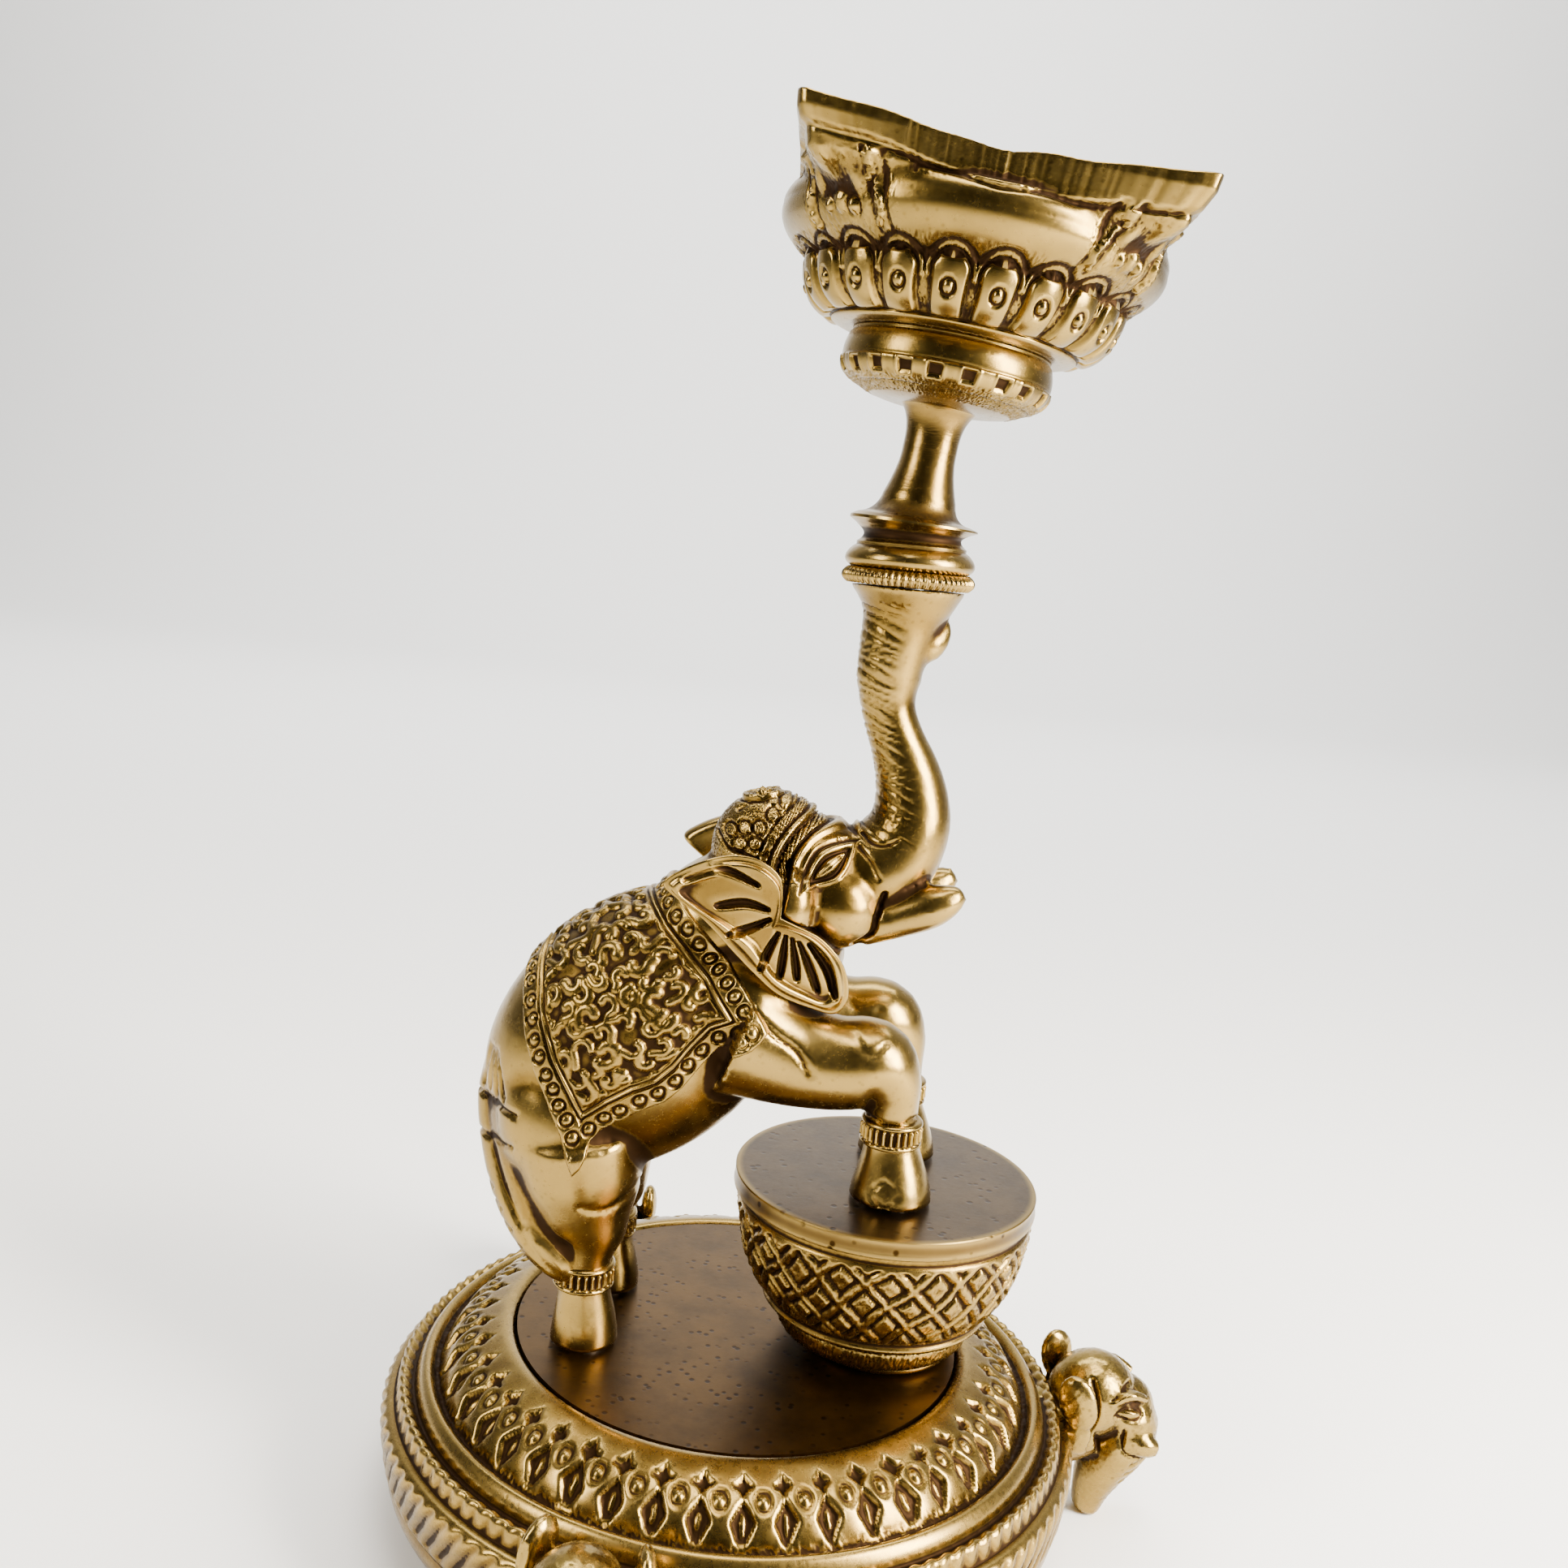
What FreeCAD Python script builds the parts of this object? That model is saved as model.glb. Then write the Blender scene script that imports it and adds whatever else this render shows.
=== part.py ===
"""Elephant diya oil lamp: a cast brass elephant stands with its hind feet on a round base and its
fore feet on a drum pedestal, and holds a four-cornered oil bowl on its raised trunk.

The lamp is cast and turned brass, screwed together from below. Each physical piece is one STEP file.
Units are millimetres, +Z is up, and the origin is on the floor under the middle of the whole lamp.
The bowl and its stem unscrew from the trunk on a threaded stud.
"""

import math
import os

import FreeCAD, Part

V = FreeCAD.Vector

# ---- driving dimensions ----
BASE_X = -8.9          # the base's axis from the middle of the lamp's box, which its feet make uneven
BASE_Y = 2.5
DECK_Z = 33.0          # top of the deck plate above the floor
DECK_R = 40.0
DECK_T = 2.4
BASE_R = 62.6          # widest radius of the base, at its lower rope moulding
BASE_WALL = 3.6
BASE_CLEARANCE = 3.0   # the base hangs this far above the floor on its three feet
FOOT_ANGLES = {"base_foot_front": 4, "base_foot_left": 119, "base_foot_right": 252}   # fitted by hand

PEDESTAL_X = 24.4      # from the base's axis
PEDESTAL_H = 31.8      # top of the pedestal above the deck
PEDESTAL_R = 27.2
PEDESTAL_WALL = 3.0
TOP_PLATE_T = 3.6

LEG_Y = 10.4           # half the distance between the left and right legs
HIND_X = -27.0
FORE_X = 24.2
FORE_STEP = 2.2        # the left fore leg stands this much further forward
FOOT_GAP = 0.8         # spacer washers hold the feet this far off the deck and the pedestal

STUD_R = 4.0           # threaded stud between trunk and stem, 1.5 mm pitch
STUD_PLAY = 0.06
STUD_X = 16.6
SEAT_Z = 136.6         # top of the trunk's cup, above the deck
THREAD_IN_TRUNK = 9.0
THREAD_IN_STEM = 9.5
FLANGE_Z = 147.4       # sharp flange of the stem, above the deck
STEM_LEAN = 6.0        # degrees, towards the elephant's front

BOWL_SIDE = 29.6       # half the width of the square rim at the middle of a side
BOWL_TIP_R = 44.0      # from the axis to a wick corner
BOWL_RIM = 54.0        # rim above the flange at the middle of a side
BOWL_TIP_RISE = 2.6
BOWL_WALL = 3.2
SHAFT_H = 19.2         # stem's shaft above its flange; the collar stands on it
COLLAR_TOP = 29.6      # collar's top above the flange; the bowl stands on it
WELL_FLOOR = 34.8      # bottom of the oil well above the flange
TENON_R = 3.4          # the stem's tenon, through the collar and the bowl's floor


def base_point(x, y=0.0, z=0.0):
    """A point given from the middle of the deck plate's top."""
    return V(BASE_X + x, BASE_Y + y, DECK_Z + z)


def lean(shape):
    """Tips a solid that was built upright about the middle of the stem's flange."""
    tipped = shape.copy()
    tipped.rotate(base_point(STUD_X, 0, FLANGE_Z), V(0, 1, 0), STEM_LEAN)
    return tipped


def outline(points):
    """A wire through points; a point marked "arc" is the middle of a round stretch."""
    edges, at, i = [], points[0], 1
    while i < len(points):
        if points[i][0] == "arc":
            mid, end = points[i][1], points[i + 1]
            edges.append(Part.Arc(at, mid, end).toShape())
            at, i = end, i + 2
        else:
            edges.append(Part.LineSegment(at, points[i]).toShape())
            at, i = points[i], i + 1
    edges.append(Part.LineSegment(at, points[0]).toShape())
    return Part.Wire(edges)


def turned(profile, x, z, y=0.0):
    """A lathe-turned solid: profile is (radius, height) pairs about the vertical axis at x, y, z."""
    points = []
    for p in profile:
        if p[0] == "arc":
            points.append(("arc", V(p[1], 0, p[2])))
        else:
            points.append(V(p[0], 0, p[1]))
    solid = Part.Face(outline(points)).revolve(V(0, 0, 0), V(0, 0, 1), 360)
    solid = Part.makeSolid(solid) if solid.ShapeType != "Solid" else solid
    solid.translate(base_point(x, y, z))
    return solid


def ball(centre, r):
    return Part.makeSphere(r, base_point(*centre))


def egg(centre, half_length, r, pitch=0.0):
    """A solid ellipse of revolution, its long axis pitched nose-up from +X."""
    ellipse = Part.Ellipse(V(0, 0, 0), half_length, r)
    arc = Part.ArcOfEllipse(ellipse, 0, math.pi).toShape()
    axis = Part.LineSegment(V(-half_length, 0, 0), V(half_length, 0, 0)).toShape()
    solid = Part.Face(Part.Wire([arc, axis])).revolve(V(0, 0, 0), V(1, 0, 0), 360)
    solid.rotate(V(0, 0, 0), V(0, 1, 0), -pitch)
    solid.translate(base_point(*centre))
    return solid


def limb(start, start_r, end, end_r):
    """A round limb between two points: a ball at each end and a cone that just touches both."""
    a, b = base_point(*start), base_point(*end)
    along = b - a
    length = along.Length
    slope = math.asin((start_r - end_r) / length)
    s, c = math.sin(slope), math.cos(slope)
    low, high = (start_r * c, start_r * s), (end_r * c, length + end_r * s)
    turn_low, turn_high = (slope - math.pi / 2) / 2, (slope + math.pi / 2) / 2
    points = [V(0, 0, -start_r),
              ("arc", V(start_r * math.cos(turn_low), 0, start_r * math.sin(turn_low))),
              V(low[0], 0, low[1]), V(high[0], 0, high[1]),
              ("arc", V(end_r * math.cos(turn_high), 0, length + end_r * math.sin(turn_high))),
              V(0, 0, length + end_r)]
    solid = Part.Face(outline(points)).revolve(V(0, 0, 0), V(0, 0, 1), 360)
    solid.Placement = FreeCAD.Placement(a, FreeCAD.Rotation(V(0, 0, 1), along))
    return solid


def lofted(stations):
    """A solid through round sections; each station is (x, y, z, radius), square to the line through them."""
    wires = []
    for i, (x, y, z, r) in enumerate(stations):
        before = stations[max(i - 1, 0)]
        after = stations[min(i + 1, len(stations) - 1)]
        along = V(after[0] - before[0], after[1] - before[1], after[2] - before[2])
        wires.append(Part.Wire([Part.makeCircle(r, base_point(x, y, z), along)]))
    return Part.makeLoft(wires, True, False)


def fuse(solids):
    """Joins solids one after another, each touching what is already joined."""
    joined = solids[0]
    for solid in solids[1:]:
        joined = joined.fuse(solid)
    return joined.Solids[0] if len(joined.Solids) == 1 else joined


def screw(x, y, z, r, length, head_r, head_h, up=True):
    """A cheese-head screw with its head's seat at z and its shank going up, or down."""
    way = 1 if up else -1
    shank = Part.makeCylinder(r, length, base_point(x, y, z), V(0, 0, way))
    head = Part.makeCylinder(head_r, head_h, base_point(x, y, z), V(0, 0, -way))
    slot_corner = base_point(x - head_r * 1.1, y - 0.45, z - way * head_h - 0.45)
    slot = Part.makeBox(head_r * 2.2, 0.9, 0.9, slot_corner)
    return fuse([shank, head]).cut(slot)


def ring(x, y, z, r_in, r_out, height):
    outer = Part.makeCylinder(r_out, height, base_point(x, y, z))
    return outer.cut(Part.makeCylinder(r_in, height * 3, base_point(x, y, z - height)))


def hex_nut(x, y, z, across_flats, height, bore_r):
    radius = across_flats / math.sqrt(3)
    corners = [base_point(x + radius * math.cos(math.radians(a)), y + radius * math.sin(math.radians(a)), z)
               for a in range(0, 361, 60)]
    body = Part.Face(Part.makePolygon(corners)).extrude(V(0, 0, height))
    return body.cut(Part.makeCylinder(bore_r, height * 3, base_point(x, y, z - height)))


# ---- base: a shallow cast drum, open underneath, with a turned seat for the deck plate ----
WEB_T = 3.2                       # casting under the deck plate
WEB_Z = -DECK_T - WEB_T
PEDESTAL_BOLT_R = 3.0
FOOT_SCREW_R = 2.0
BOLT_HOLE = 0.25                  # radial room round a bolt
HIND_FEET = [(HIND_X, -LEG_Y), (HIND_X + 1.5, LEG_Y)]
FORE_FEET = [(FORE_X, -LEG_Y), (FORE_X + FORE_STEP, LEG_Y)]


def base_envelope():
    """Half of the base's outside: sloping ornament ring, fillet, rope moulding, ribbed side."""
    bottom = BASE_CLEARANCE - DECK_Z
    return [(0, 0), (43.5, 0), (44.3, -0.6), ("arc", 49.5, -2.9), (53.0, -7.0), (53.6, -7.6),
            ("arc", 55.2, -6.7), (56.6, -8.4), (57.2, -9.2), ("arc", 59.5, -8.7), (60.4, -11.4),
            ("arc", BASE_R, -14.4), (BASE_R - 0.4, -19.8), ("arc", BASE_R - 2.4, -25.4),
            (55.5, bottom), (0, bottom)]


def base_shell():
    outer = turned(base_envelope(), 0, 0)
    bottom = BASE_CLEARANCE - DECK_Z
    wall = BASE_R - BASE_WALL
    hollow = turned([(0, WEB_Z), (46.0, WEB_Z), ("arc", 55.2, -11.5), (wall - 0.2, -18.0),
                     ("arc", wall - 1.6, -24.0), (51.5, bottom - 1), (0, bottom - 1)], 0, 0)
    seat = Part.makeCylinder(DECK_R + 0.3, DECK_T + 1, base_point(0, 0, -DECK_T))
    shell = outer.cut(hollow).cut(seat)
    for x, y in HIND_FEET:
        shell = shell.cut(Part.makeCylinder(FOOT_SCREW_R + BOLT_HOLE, 12, base_point(x, y, WEB_Z - 4)))
    bolt_hole = Part.makeCylinder(PEDESTAL_BOLT_R + BOLT_HOLE, 12, base_point(PEDESTAL_X, 0, WEB_Z - 4))
    shell = shell.cut(bolt_hole)
    for angle in FOOT_ANGLES.values():
        shell = shell.cut(foot_screw_solid(angle, FOOT_SCREW_R + BOLT_HOLE, 0.1))
    return shell


def deck_plate():
    plate = Part.makeCylinder(DECK_R, DECK_T, base_point(0, 0, -DECK_T))
    for x, y in HIND_FEET:
        plate = plate.cut(Part.makeCylinder(FOOT_SCREW_R + BOLT_HOLE, 12, base_point(x, y, -6)))
    return plate.cut(Part.makeCylinder(PEDESTAL_BOLT_R + BOLT_HOLE, 12, base_point(PEDESTAL_X, 0, -6)))


# ---- the three elephant-head feet, each held by one screw from inside the base ----
FOOT_SCREW_Z = -19.5


def foot_screw_solid(angle, r, grow=0.0):
    """The screw that holds a foot: head inside the base's wall, shank pointing outwards."""
    shank = Part.makeCylinder(r, 11.0 + grow, base_point(55.5, 0, FOOT_SCREW_Z), V(1, 0, 0))
    shank.rotate(base_point(0), V(0, 0, 1), angle)
    return shank


def foot_screws():
    made = []
    for angle in FOOT_ANGLES.values():
        head = Part.makeCylinder(3.4, 2.0, base_point(54.4, 0, FOOT_SCREW_Z), V(1, 0, 0))
        head.rotate(base_point(0), V(0, 0, 1), angle)
        solid = fuse([head, foot_screw_solid(angle, FOOT_SCREW_R)])
        made.append(solid)
    return made


def head_foot(angle):
    """An elephant's head whose broad trunk tapers straight down to the floor."""
    skull = egg((67.6, 0, -9.6), 8.4, 7.7, 20)
    brow = ball((73.2, 0, -12.6), 6.3)
    neck = limb((56.0, 0, -18.0), 8.0, (66.0, 0, -15.5), 7.4)
    trunk = lofted([(74.6, 0, -11.5, 6.4), (73.6, 0, -17.0, 7.0), (71.6, 0, -22.6, 6.2),
                    (69.8, 0, -28.0, 4.6), (69.2, 0, -DECK_Z - 2.0, 3.4)])
    tusks = [limb((74.0, s * 5.4, -15.6), 2.5, (78.4, s * 6.2, -17.2), 1.9) for s in (-1, 1)]
    ears = [limb((62.8, s * 9.2, -6.0), 3.2, (62.6, s * 8.6, -14.6), 2.4) for s in (-1, 1)]
    solid = fuse([skull, brow, neck, trunk] + tusks + ears)
    floor = Part.makeBox(60, 60, 20, base_point(40, -30, -DECK_Z - 20))
    solid = solid.cut(floor).cut(turned(base_envelope(), 0, 0))
    solid = max(solid.Solids, key=lambda s: s.Volume)
    solid = solid.cut(foot_screw_solid(0, FOOT_SCREW_R))
    solid.rotate(base_point(0), V(0, 0, 1), angle)
    return solid


# ---- pedestal: a latticed drum with a turned foot under it and a flat plate on it ----
DRUM_Z = 2.2                      # the drum starts on its turned foot
PLATE_Z = PEDESTAL_H - TOP_PLATE_T


def pedestal_foot():
    foot = turned([(0, 0), (13.2, 0), ("arc", 13.9, 1.1), (13.2, DRUM_Z), (0, DRUM_Z)], PEDESTAL_X + 1.4, 0)
    return foot.cut(Part.makeCylinder(PEDESTAL_BOLT_R + BOLT_HOLE, 12, base_point(PEDESTAL_X, 0, -4)))


def pedestal_drum():
    outer = turned([(0, DRUM_Z), (14.4, DRUM_Z), ("arc", 17.2, 4.0), (16.6, 6.2),
                    ("arc", 22.6, 12.0), (25.6, 20.0), ("arc", 26.4, 24.0), (26.6, PLATE_Z), (0, PLATE_Z)],
                   PEDESTAL_X, 0)
    hollow = turned([(0, DRUM_Z + 3.4), (11.5, DRUM_Z + 3.4), ("arc", 19.4, 12.6), (22.6, 20.0),
                     ("arc", 23.3, 24.0), (23.5, PLATE_Z + 1), (0, PLATE_Z + 1)], PEDESTAL_X, 0)
    bolt = Part.makeCylinder(PEDESTAL_BOLT_R + BOLT_HOLE, 12, base_point(PEDESTAL_X, 0, -4))
    return outer.cut(hollow).cut(bolt)


def pedestal_top_plate():
    plate = turned([(0, PLATE_Z), (26.6, PLATE_Z), ("arc", 27.15, PLATE_Z + 1.6), (PEDESTAL_R, PEDESTAL_H - 0.3),
                    (PEDESTAL_R - 0.3, PEDESTAL_H), (0, PEDESTAL_H)], PEDESTAL_X - 0.3, 0)
    spigot = Part.makeCylinder(23.3, 1.6, base_point(PEDESTAL_X, 0, PLATE_Z - 1.6))
    plate = fuse([plate, spigot])
    for x, y in FORE_FEET:
        plate = plate.cut(Part.makeCylinder(FOOT_SCREW_R + BOLT_HOLE, 20, base_point(x, y, PLATE_Z - 8)))
    return plate


def pedestal_bolt():
    """Hangs from the drum's floor, through the foot, the deck plate and the base, to its nut."""
    seat = DRUM_Z + 3.4
    return screw(PEDESTAL_X, 0, seat, PEDESTAL_BOLT_R, 20.0, 5.2, 3.2, up=False)


# ---- the elephant: one casting, rearing up, trunk raised ----
EAR_OUTLINE = [(-18.6, 88.0), (-12.5, 93.6), (-4.0, 94.8), (0.8, 88.5), (3.6, 81.8), (9.6, 79.6),
               (12.6, 72.0), (9.8, 65.8), (2.0, 70.2), (-8.0, 77.4)]
TRUNK = [(13.0, 0, 85.0, 8.6), (19.0, 0, 89.5, 8.6), (21.6, 0, 95.0, 7.6), (21.4, 0, 100.0, 6.9),
         (20.0, 0, 105.5, 6.0), (17.6, 0, 111.0, 5.1), (15.7, 0, 116.0, 5.0), (15.2, 0, 121.0, 5.6),
         (15.8, 0, 126.5, 6.3), (16.4, 0, 131.0, 7.0), (16.6, 0, 134.4, 8.8), (16.6, 0, SEAT_Z, 10.1)]
TAIL = [(-44.0, 0, 46.0, 3.0), (-48.2, -1.0, 38.0, 3.2), (-47.6, -2.5, 30.0, 3.0), (-44.6, -4.5, 23.0, 3.0),
        (-40.2, -6.5, 17.0, 3.2), (-35.4, -8.5, 12.6, 3.0), (-32.6, -9.6, 10.4, 1.6)]


def ear(side):
    """A fan-shaped flap, standing off the neck and closest to the head at its front."""
    curve = Part.BSplineCurve()
    curve.interpolate([V(x, 0, z) for x, z in EAR_OUTLINE], True)
    flap = Part.Face(Part.Wire([curve.toShape()])).extrude(V(0, 3.4, 0))
    flap.translate(V(0, 15.4, 0))
    flap.rotate(V(0, 17, 80), V(0.55, 0, 0.83), -14)
    if side < 0:
        flap = flap.mirror(V(0, 0, 0), V(0, 1, 0))
    flap.translate(base_point(0))
    return flap


def fore_leg(x, y, lift):
    shoulder = limb((x - 22.5, y * 0.9, 59.0 + lift), 10.0, (x - 6.0, y, 56.2 + lift), 8.1)
    shin = limb((x - 4.4, y, 55.0 + lift), 7.2, (x - 1.2, y, 44.5), 4.9)
    sole = PEDESTAL_H + FOOT_GAP
    foot = turned([(0, 0), (7.0, 0), (7.2, 1.6), ("arc", 5.4, 7.0), (4.6, 11.0), (5.4, 12.0),
                   (5.4, 16.2), (4.4, 17.0), (0, 17.0)], x, sole, y)
    return [shoulder, shin, foot]


def hind_leg(x, y):
    thigh = limb((x - 7.0, y * 0.85, 37.0), 12.6, (x - 2.0, y, 22.5), 7.6)
    sole = FOOT_GAP
    foot = turned([(0, 0), (5.9, 0), (6.1, 1.6), ("arc", 5.6, 6.5), (4.8, 10.4), (5.4, 11.2),
                   (5.4, 15.6), (4.6, 16.6), (5.6, 19.0), (0, 19.0)], x, sole, y)
    return [thigh, foot]


def elephant():
    pieces = [
        egg((-21.8, 0, 54.0), 32.8, 20.2, 43),       # barrel of the body
        egg((-5.0, 0, 75.0), 17.5, 15.6, 25),        # neck and chest
        ball((8.6, 0, 84.2), 12.3),                  # face
        ball((-2.2, 0, 90.2), 10.2),                 # crown
    ]
    for x, y in HIND_FEET:
        pieces += hind_leg(x, y)
    for (x, y), lift in zip(FORE_FEET, (0.0, 1.4)):
        pieces += fore_leg(x, y, lift)
    pieces += [
        lofted(TRUNK),
        lofted(TAIL),
        limb((22.6, 0, 126.0), 2.5, (23.6, 0, 129.6), 1.7),      # finger at the trunk's tip
        limb((15.0, 0, 76.5), 4.6, (23.6, 0, 80.2), 2.6),        # lower lip
    ]
    for side in (-1, 1):
        pieces.append(limb((15.6, side * 6.6, 77.2), 3.9, (29.6, side * 7.4, 82.6), 2.6))   # tusk
    for side in (-1, 1):
        pieces.append(ear(side))
    body = fuse(pieces)
    for x, y in HIND_FEET:
        body = body.cut(Part.makeCylinder(FOOT_SCREW_R, 11.0, base_point(x, y, FOOT_GAP)))
    for x, y in FORE_FEET:
        body = body.cut(Part.makeCylinder(FOOT_SCREW_R, 11.0, base_point(x, y, PEDESTAL_H + FOOT_GAP)))
    socket_depth = THREAD_IN_TRUNK + 0.6
    body = body.cut(Part.makeCylinder(STUD_R + STUD_PLAY, socket_depth + 2,
                                      base_point(STUD_X, 0, SEAT_Z - socket_depth)))
    return body


def hind_foot_bolts():
    """Screws up through the base and the deck plate into the hind feet."""
    length = 10.0 + FOOT_GAP - WEB_Z
    return [screw(x, y, WEB_Z - 1.0, FOOT_SCREW_R, length, 3.8, 2.4) for x, y in HIND_FEET]


def fore_foot_bolts():
    """Screws up through the pedestal's top plate into the fore feet."""
    seat = PLATE_Z - 1.6 - 1.0
    length = 10.0 + FOOT_GAP + PEDESTAL_H - seat
    return [screw(x, y, seat, FOOT_SCREW_R, length, 3.8, 2.4) for x, y in FORE_FEET]


# ---- stem and bowl: turned upright about the stud's axis, then tipped by the stem's lean ----
KNURL_H = 2.7
RING_GAP = 0.25                   # a hair of clearance on the trunk's cup
RING_Z = SEAT_Z + RING_GAP
STEM_Z = RING_Z + KNURL_H
TENON_SPLIT = SHAFT_H + 9.0       # the nut's shank meets the stem's tenon here, inside the collar


def stem_stud():
    bottom = SEAT_Z - THREAD_IN_TRUNK
    return Part.makeCylinder(STUD_R, THREAD_IN_TRUNK + RING_GAP + KNURL_H + THREAD_IN_STEM,
                             base_point(STUD_X, 0, bottom))


def knurled_ring():
    inner = STUD_R + STUD_PLAY
    return turned([(inner, 0), (10.4, 0), ("arc", 11.2, KNURL_H / 2), (10.4, KNURL_H), (inner, KNURL_H)],
                  STUD_X, RING_Z)


def stem():
    """A turned baluster: bulb and flange stand upright, the shaft above them leans."""
    bulb_top = FLANGE_Z - STEM_Z
    bulb = turned([(0, 0), (10.2, 0), ("arc", 11.0, 1.4), (9.8, 3.6), ("arc", 8.3, 5.3), (8.6, bulb_top - 1.6),
                   (10.9, bulb_top - 0.2), (10.8, bulb_top + 0.2), ("arc", 7.6, bulb_top + 2.2),
                   (5.6, bulb_top + 5.6), (0, bulb_top + 5.6)], STUD_X, STEM_Z)
    shaft = turned([(0, 1.0), (7.2, 1.0), ("arc", 5.1, 6.4), (4.6, 12.0), ("arc", 4.9, 16.4),
                    (6.2, SHAFT_H), (0, SHAFT_H)], STUD_X, FLANGE_Z)
    tenon = Part.makeCylinder(TENON_R, TENON_SPLIT - SHAFT_H, base_point(STUD_X, 0, FLANGE_Z + SHAFT_H))
    solid = fuse([bulb, lean(shaft), lean(tenon)])
    socket = Part.makeCylinder(STUD_R + STUD_PLAY, THREAD_IN_STEM + 0.5, base_point(STUD_X, 0, STEM_Z))
    return solid.cut(socket)


def bowl_collar():
    """The dimpled foot under the bowl, threaded on the stem's tenon."""
    collar = turned([(TENON_R, SHAFT_H), (9.0, SHAFT_H), ("arc", 14.0, 20.2), (16.6, 22.6), ("arc", 17.9, 24.0),
                     (17.6, 26.0), ("arc", 16.6, 28.0), (17.6, COLLAR_TOP), (TENON_R, COLLAR_TOP)],
                    STUD_X, FLANGE_Z)
    return lean(collar)


def square(side, tip_r, z):
    """The rim's plan: four hollow sides between four wick corners."""
    edges = []
    for k in range(4):
        start, middle, end = (math.radians(45 + 90 * k + turn) for turn in (0, 45, 90))
        a = V(tip_r * math.cos(start), tip_r * math.sin(start), z)
        b = V(tip_r * math.cos(end), tip_r * math.sin(end), z)
        m = V(side * math.cos(middle), side * math.sin(middle), z)
        edges.append(Part.Arc(a, m, b).toShape())
    return Part.Wire(edges)


def rim_dips():
    """Two long shallow scoops that leave the four corners of the rim standing highest."""
    half = BOWL_TIP_R * math.sqrt(0.5)
    r = (half ** 2 + BOWL_TIP_RISE ** 2) / (2 * BOWL_TIP_RISE)
    z = FLANGE_Z + BOWL_RIM + r
    return [Part.makeCylinder(r, 120, base_point(STUD_X, -60, z), V(0, 1, 0)),
            Part.makeCylinder(r, 120, base_point(STUD_X - 60, 0, z), V(1, 0, 0))]


def bowl():
    """Round below with a row of petals, square at the rim, hollow for the oil."""
    top = BOWL_RIM + BOWL_TIP_RISE
    body = turned([(0, COLLAR_TOP), (19.8, COLLAR_TOP), ("arc", 24.6, 33.0), (26.2, 38.6), ("arc", 30.8, 42.4),
                   (31.9, 46.0), ("arc", 31.0, 48.8), (29.0, 50.6), (0, 50.6)], STUD_X, FLANGE_Z)
    flare = Part.makeLoft([square(27.6, 31.0, 45.0), square(BOWL_SIDE - 0.6, 40.0, 49.4),
                           square(BOWL_SIDE, BOWL_TIP_R, top)], True, True)
    inner = BOWL_SIDE - BOWL_WALL
    hollow = turned([(0, WELL_FLOOR), (9.0, WELL_FLOOR), ("arc", 22.4, 39.6), (25.4, 46.0), (25.4, 47.0),
                     (0, 47.0)], STUD_X, FLANGE_Z)
    mouth = Part.makeLoft([square(24.9, 25.6, 46.4), square(inner, BOWL_TIP_R - 6.4, top),
                           square(inner + 0.4, BOWL_TIP_R - 5.4, top + 2)], True, True)
    for loft in (flare, mouth):
        loft.translate(base_point(STUD_X, 0, FLANGE_Z))
    tenon_hole = Part.makeCylinder(TENON_R, 8.0, base_point(STUD_X, 0, FLANGE_Z + COLLAR_TOP - 2.6))
    solid = fuse([body, flare]).cut(hollow).cut(mouth).cut(tenon_hole)
    for dip in rim_dips():
        solid = solid.cut(dip)
    return lean(solid)


def bowl_nut():
    """A low round nut that holds the bowl down on the stem's tenon, in the bottom of the oil well."""
    nut = turned([(0, WELL_FLOOR), (5.6, WELL_FLOOR), ("arc", 5.2, 36.8), (3.0, 37.6), (0, 37.6)],
                 STUD_X, FLANGE_Z)
    shank_from = base_point(STUD_X, 0, FLANGE_Z + TENON_SPLIT)
    tenon_end = Part.makeCylinder(TENON_R, WELL_FLOOR - TENON_SPLIT, shank_from)
    return lean(fuse([nut, tenon_end]))


def spacers(feet, z):
    return [ring(x, y, z, FOOT_SCREW_R + 0.1, 4.2, FOOT_GAP) for x, y in feet]


def washers(feet, z):
    return [ring(x, y, z - 1.0, FOOT_SCREW_R + 0.1, 4.6, 1.0) for x, y in feet]


def build():
    """Every node's solids, by node name."""
    nut_z = WEB_Z - 6.0
    nodes = {
        "base_shell": base_shell(),
        "deck_plate": deck_plate(),
        "base_foot_screws": foot_screws(),
        "pedestal_foot": pedestal_foot(),
        "pedestal_drum": pedestal_drum(),
        "pedestal_top_plate": pedestal_top_plate(),
        "pedestal_bolt": pedestal_bolt(),
        "pedestal_washer": ring(PEDESTAL_X, 0, WEB_Z - 1.2, PEDESTAL_BOLT_R + 0.1, 6.0, 1.2),
        "pedestal_nut": hex_nut(PEDESTAL_X, 0, nut_z - 0.2, 10.0, 5.0, PEDESTAL_BOLT_R),
        "elephant": elephant(),
        "hind_foot_bolts": hind_foot_bolts(),
        "hind_foot_washers": washers(HIND_FEET, WEB_Z),
        "hind_foot_spacers": spacers(HIND_FEET, 0.0),
        "fore_foot_bolts": fore_foot_bolts(),
        "fore_foot_washers": washers(FORE_FEET, PLATE_Z - 1.6),
        "fore_foot_spacers": spacers(FORE_FEET, PEDESTAL_H),
        "stem_stud": stem_stud(),
        "knurled_ring": knurled_ring(),
        "stem": stem(),
        "bowl_collar": bowl_collar(),
        "bowl": bowl(),
        "bowl_nut": bowl_nut(),
    }
    for name, angle in FOOT_ANGLES.items():
        nodes[name] = head_foot(angle)
    return nodes


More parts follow.
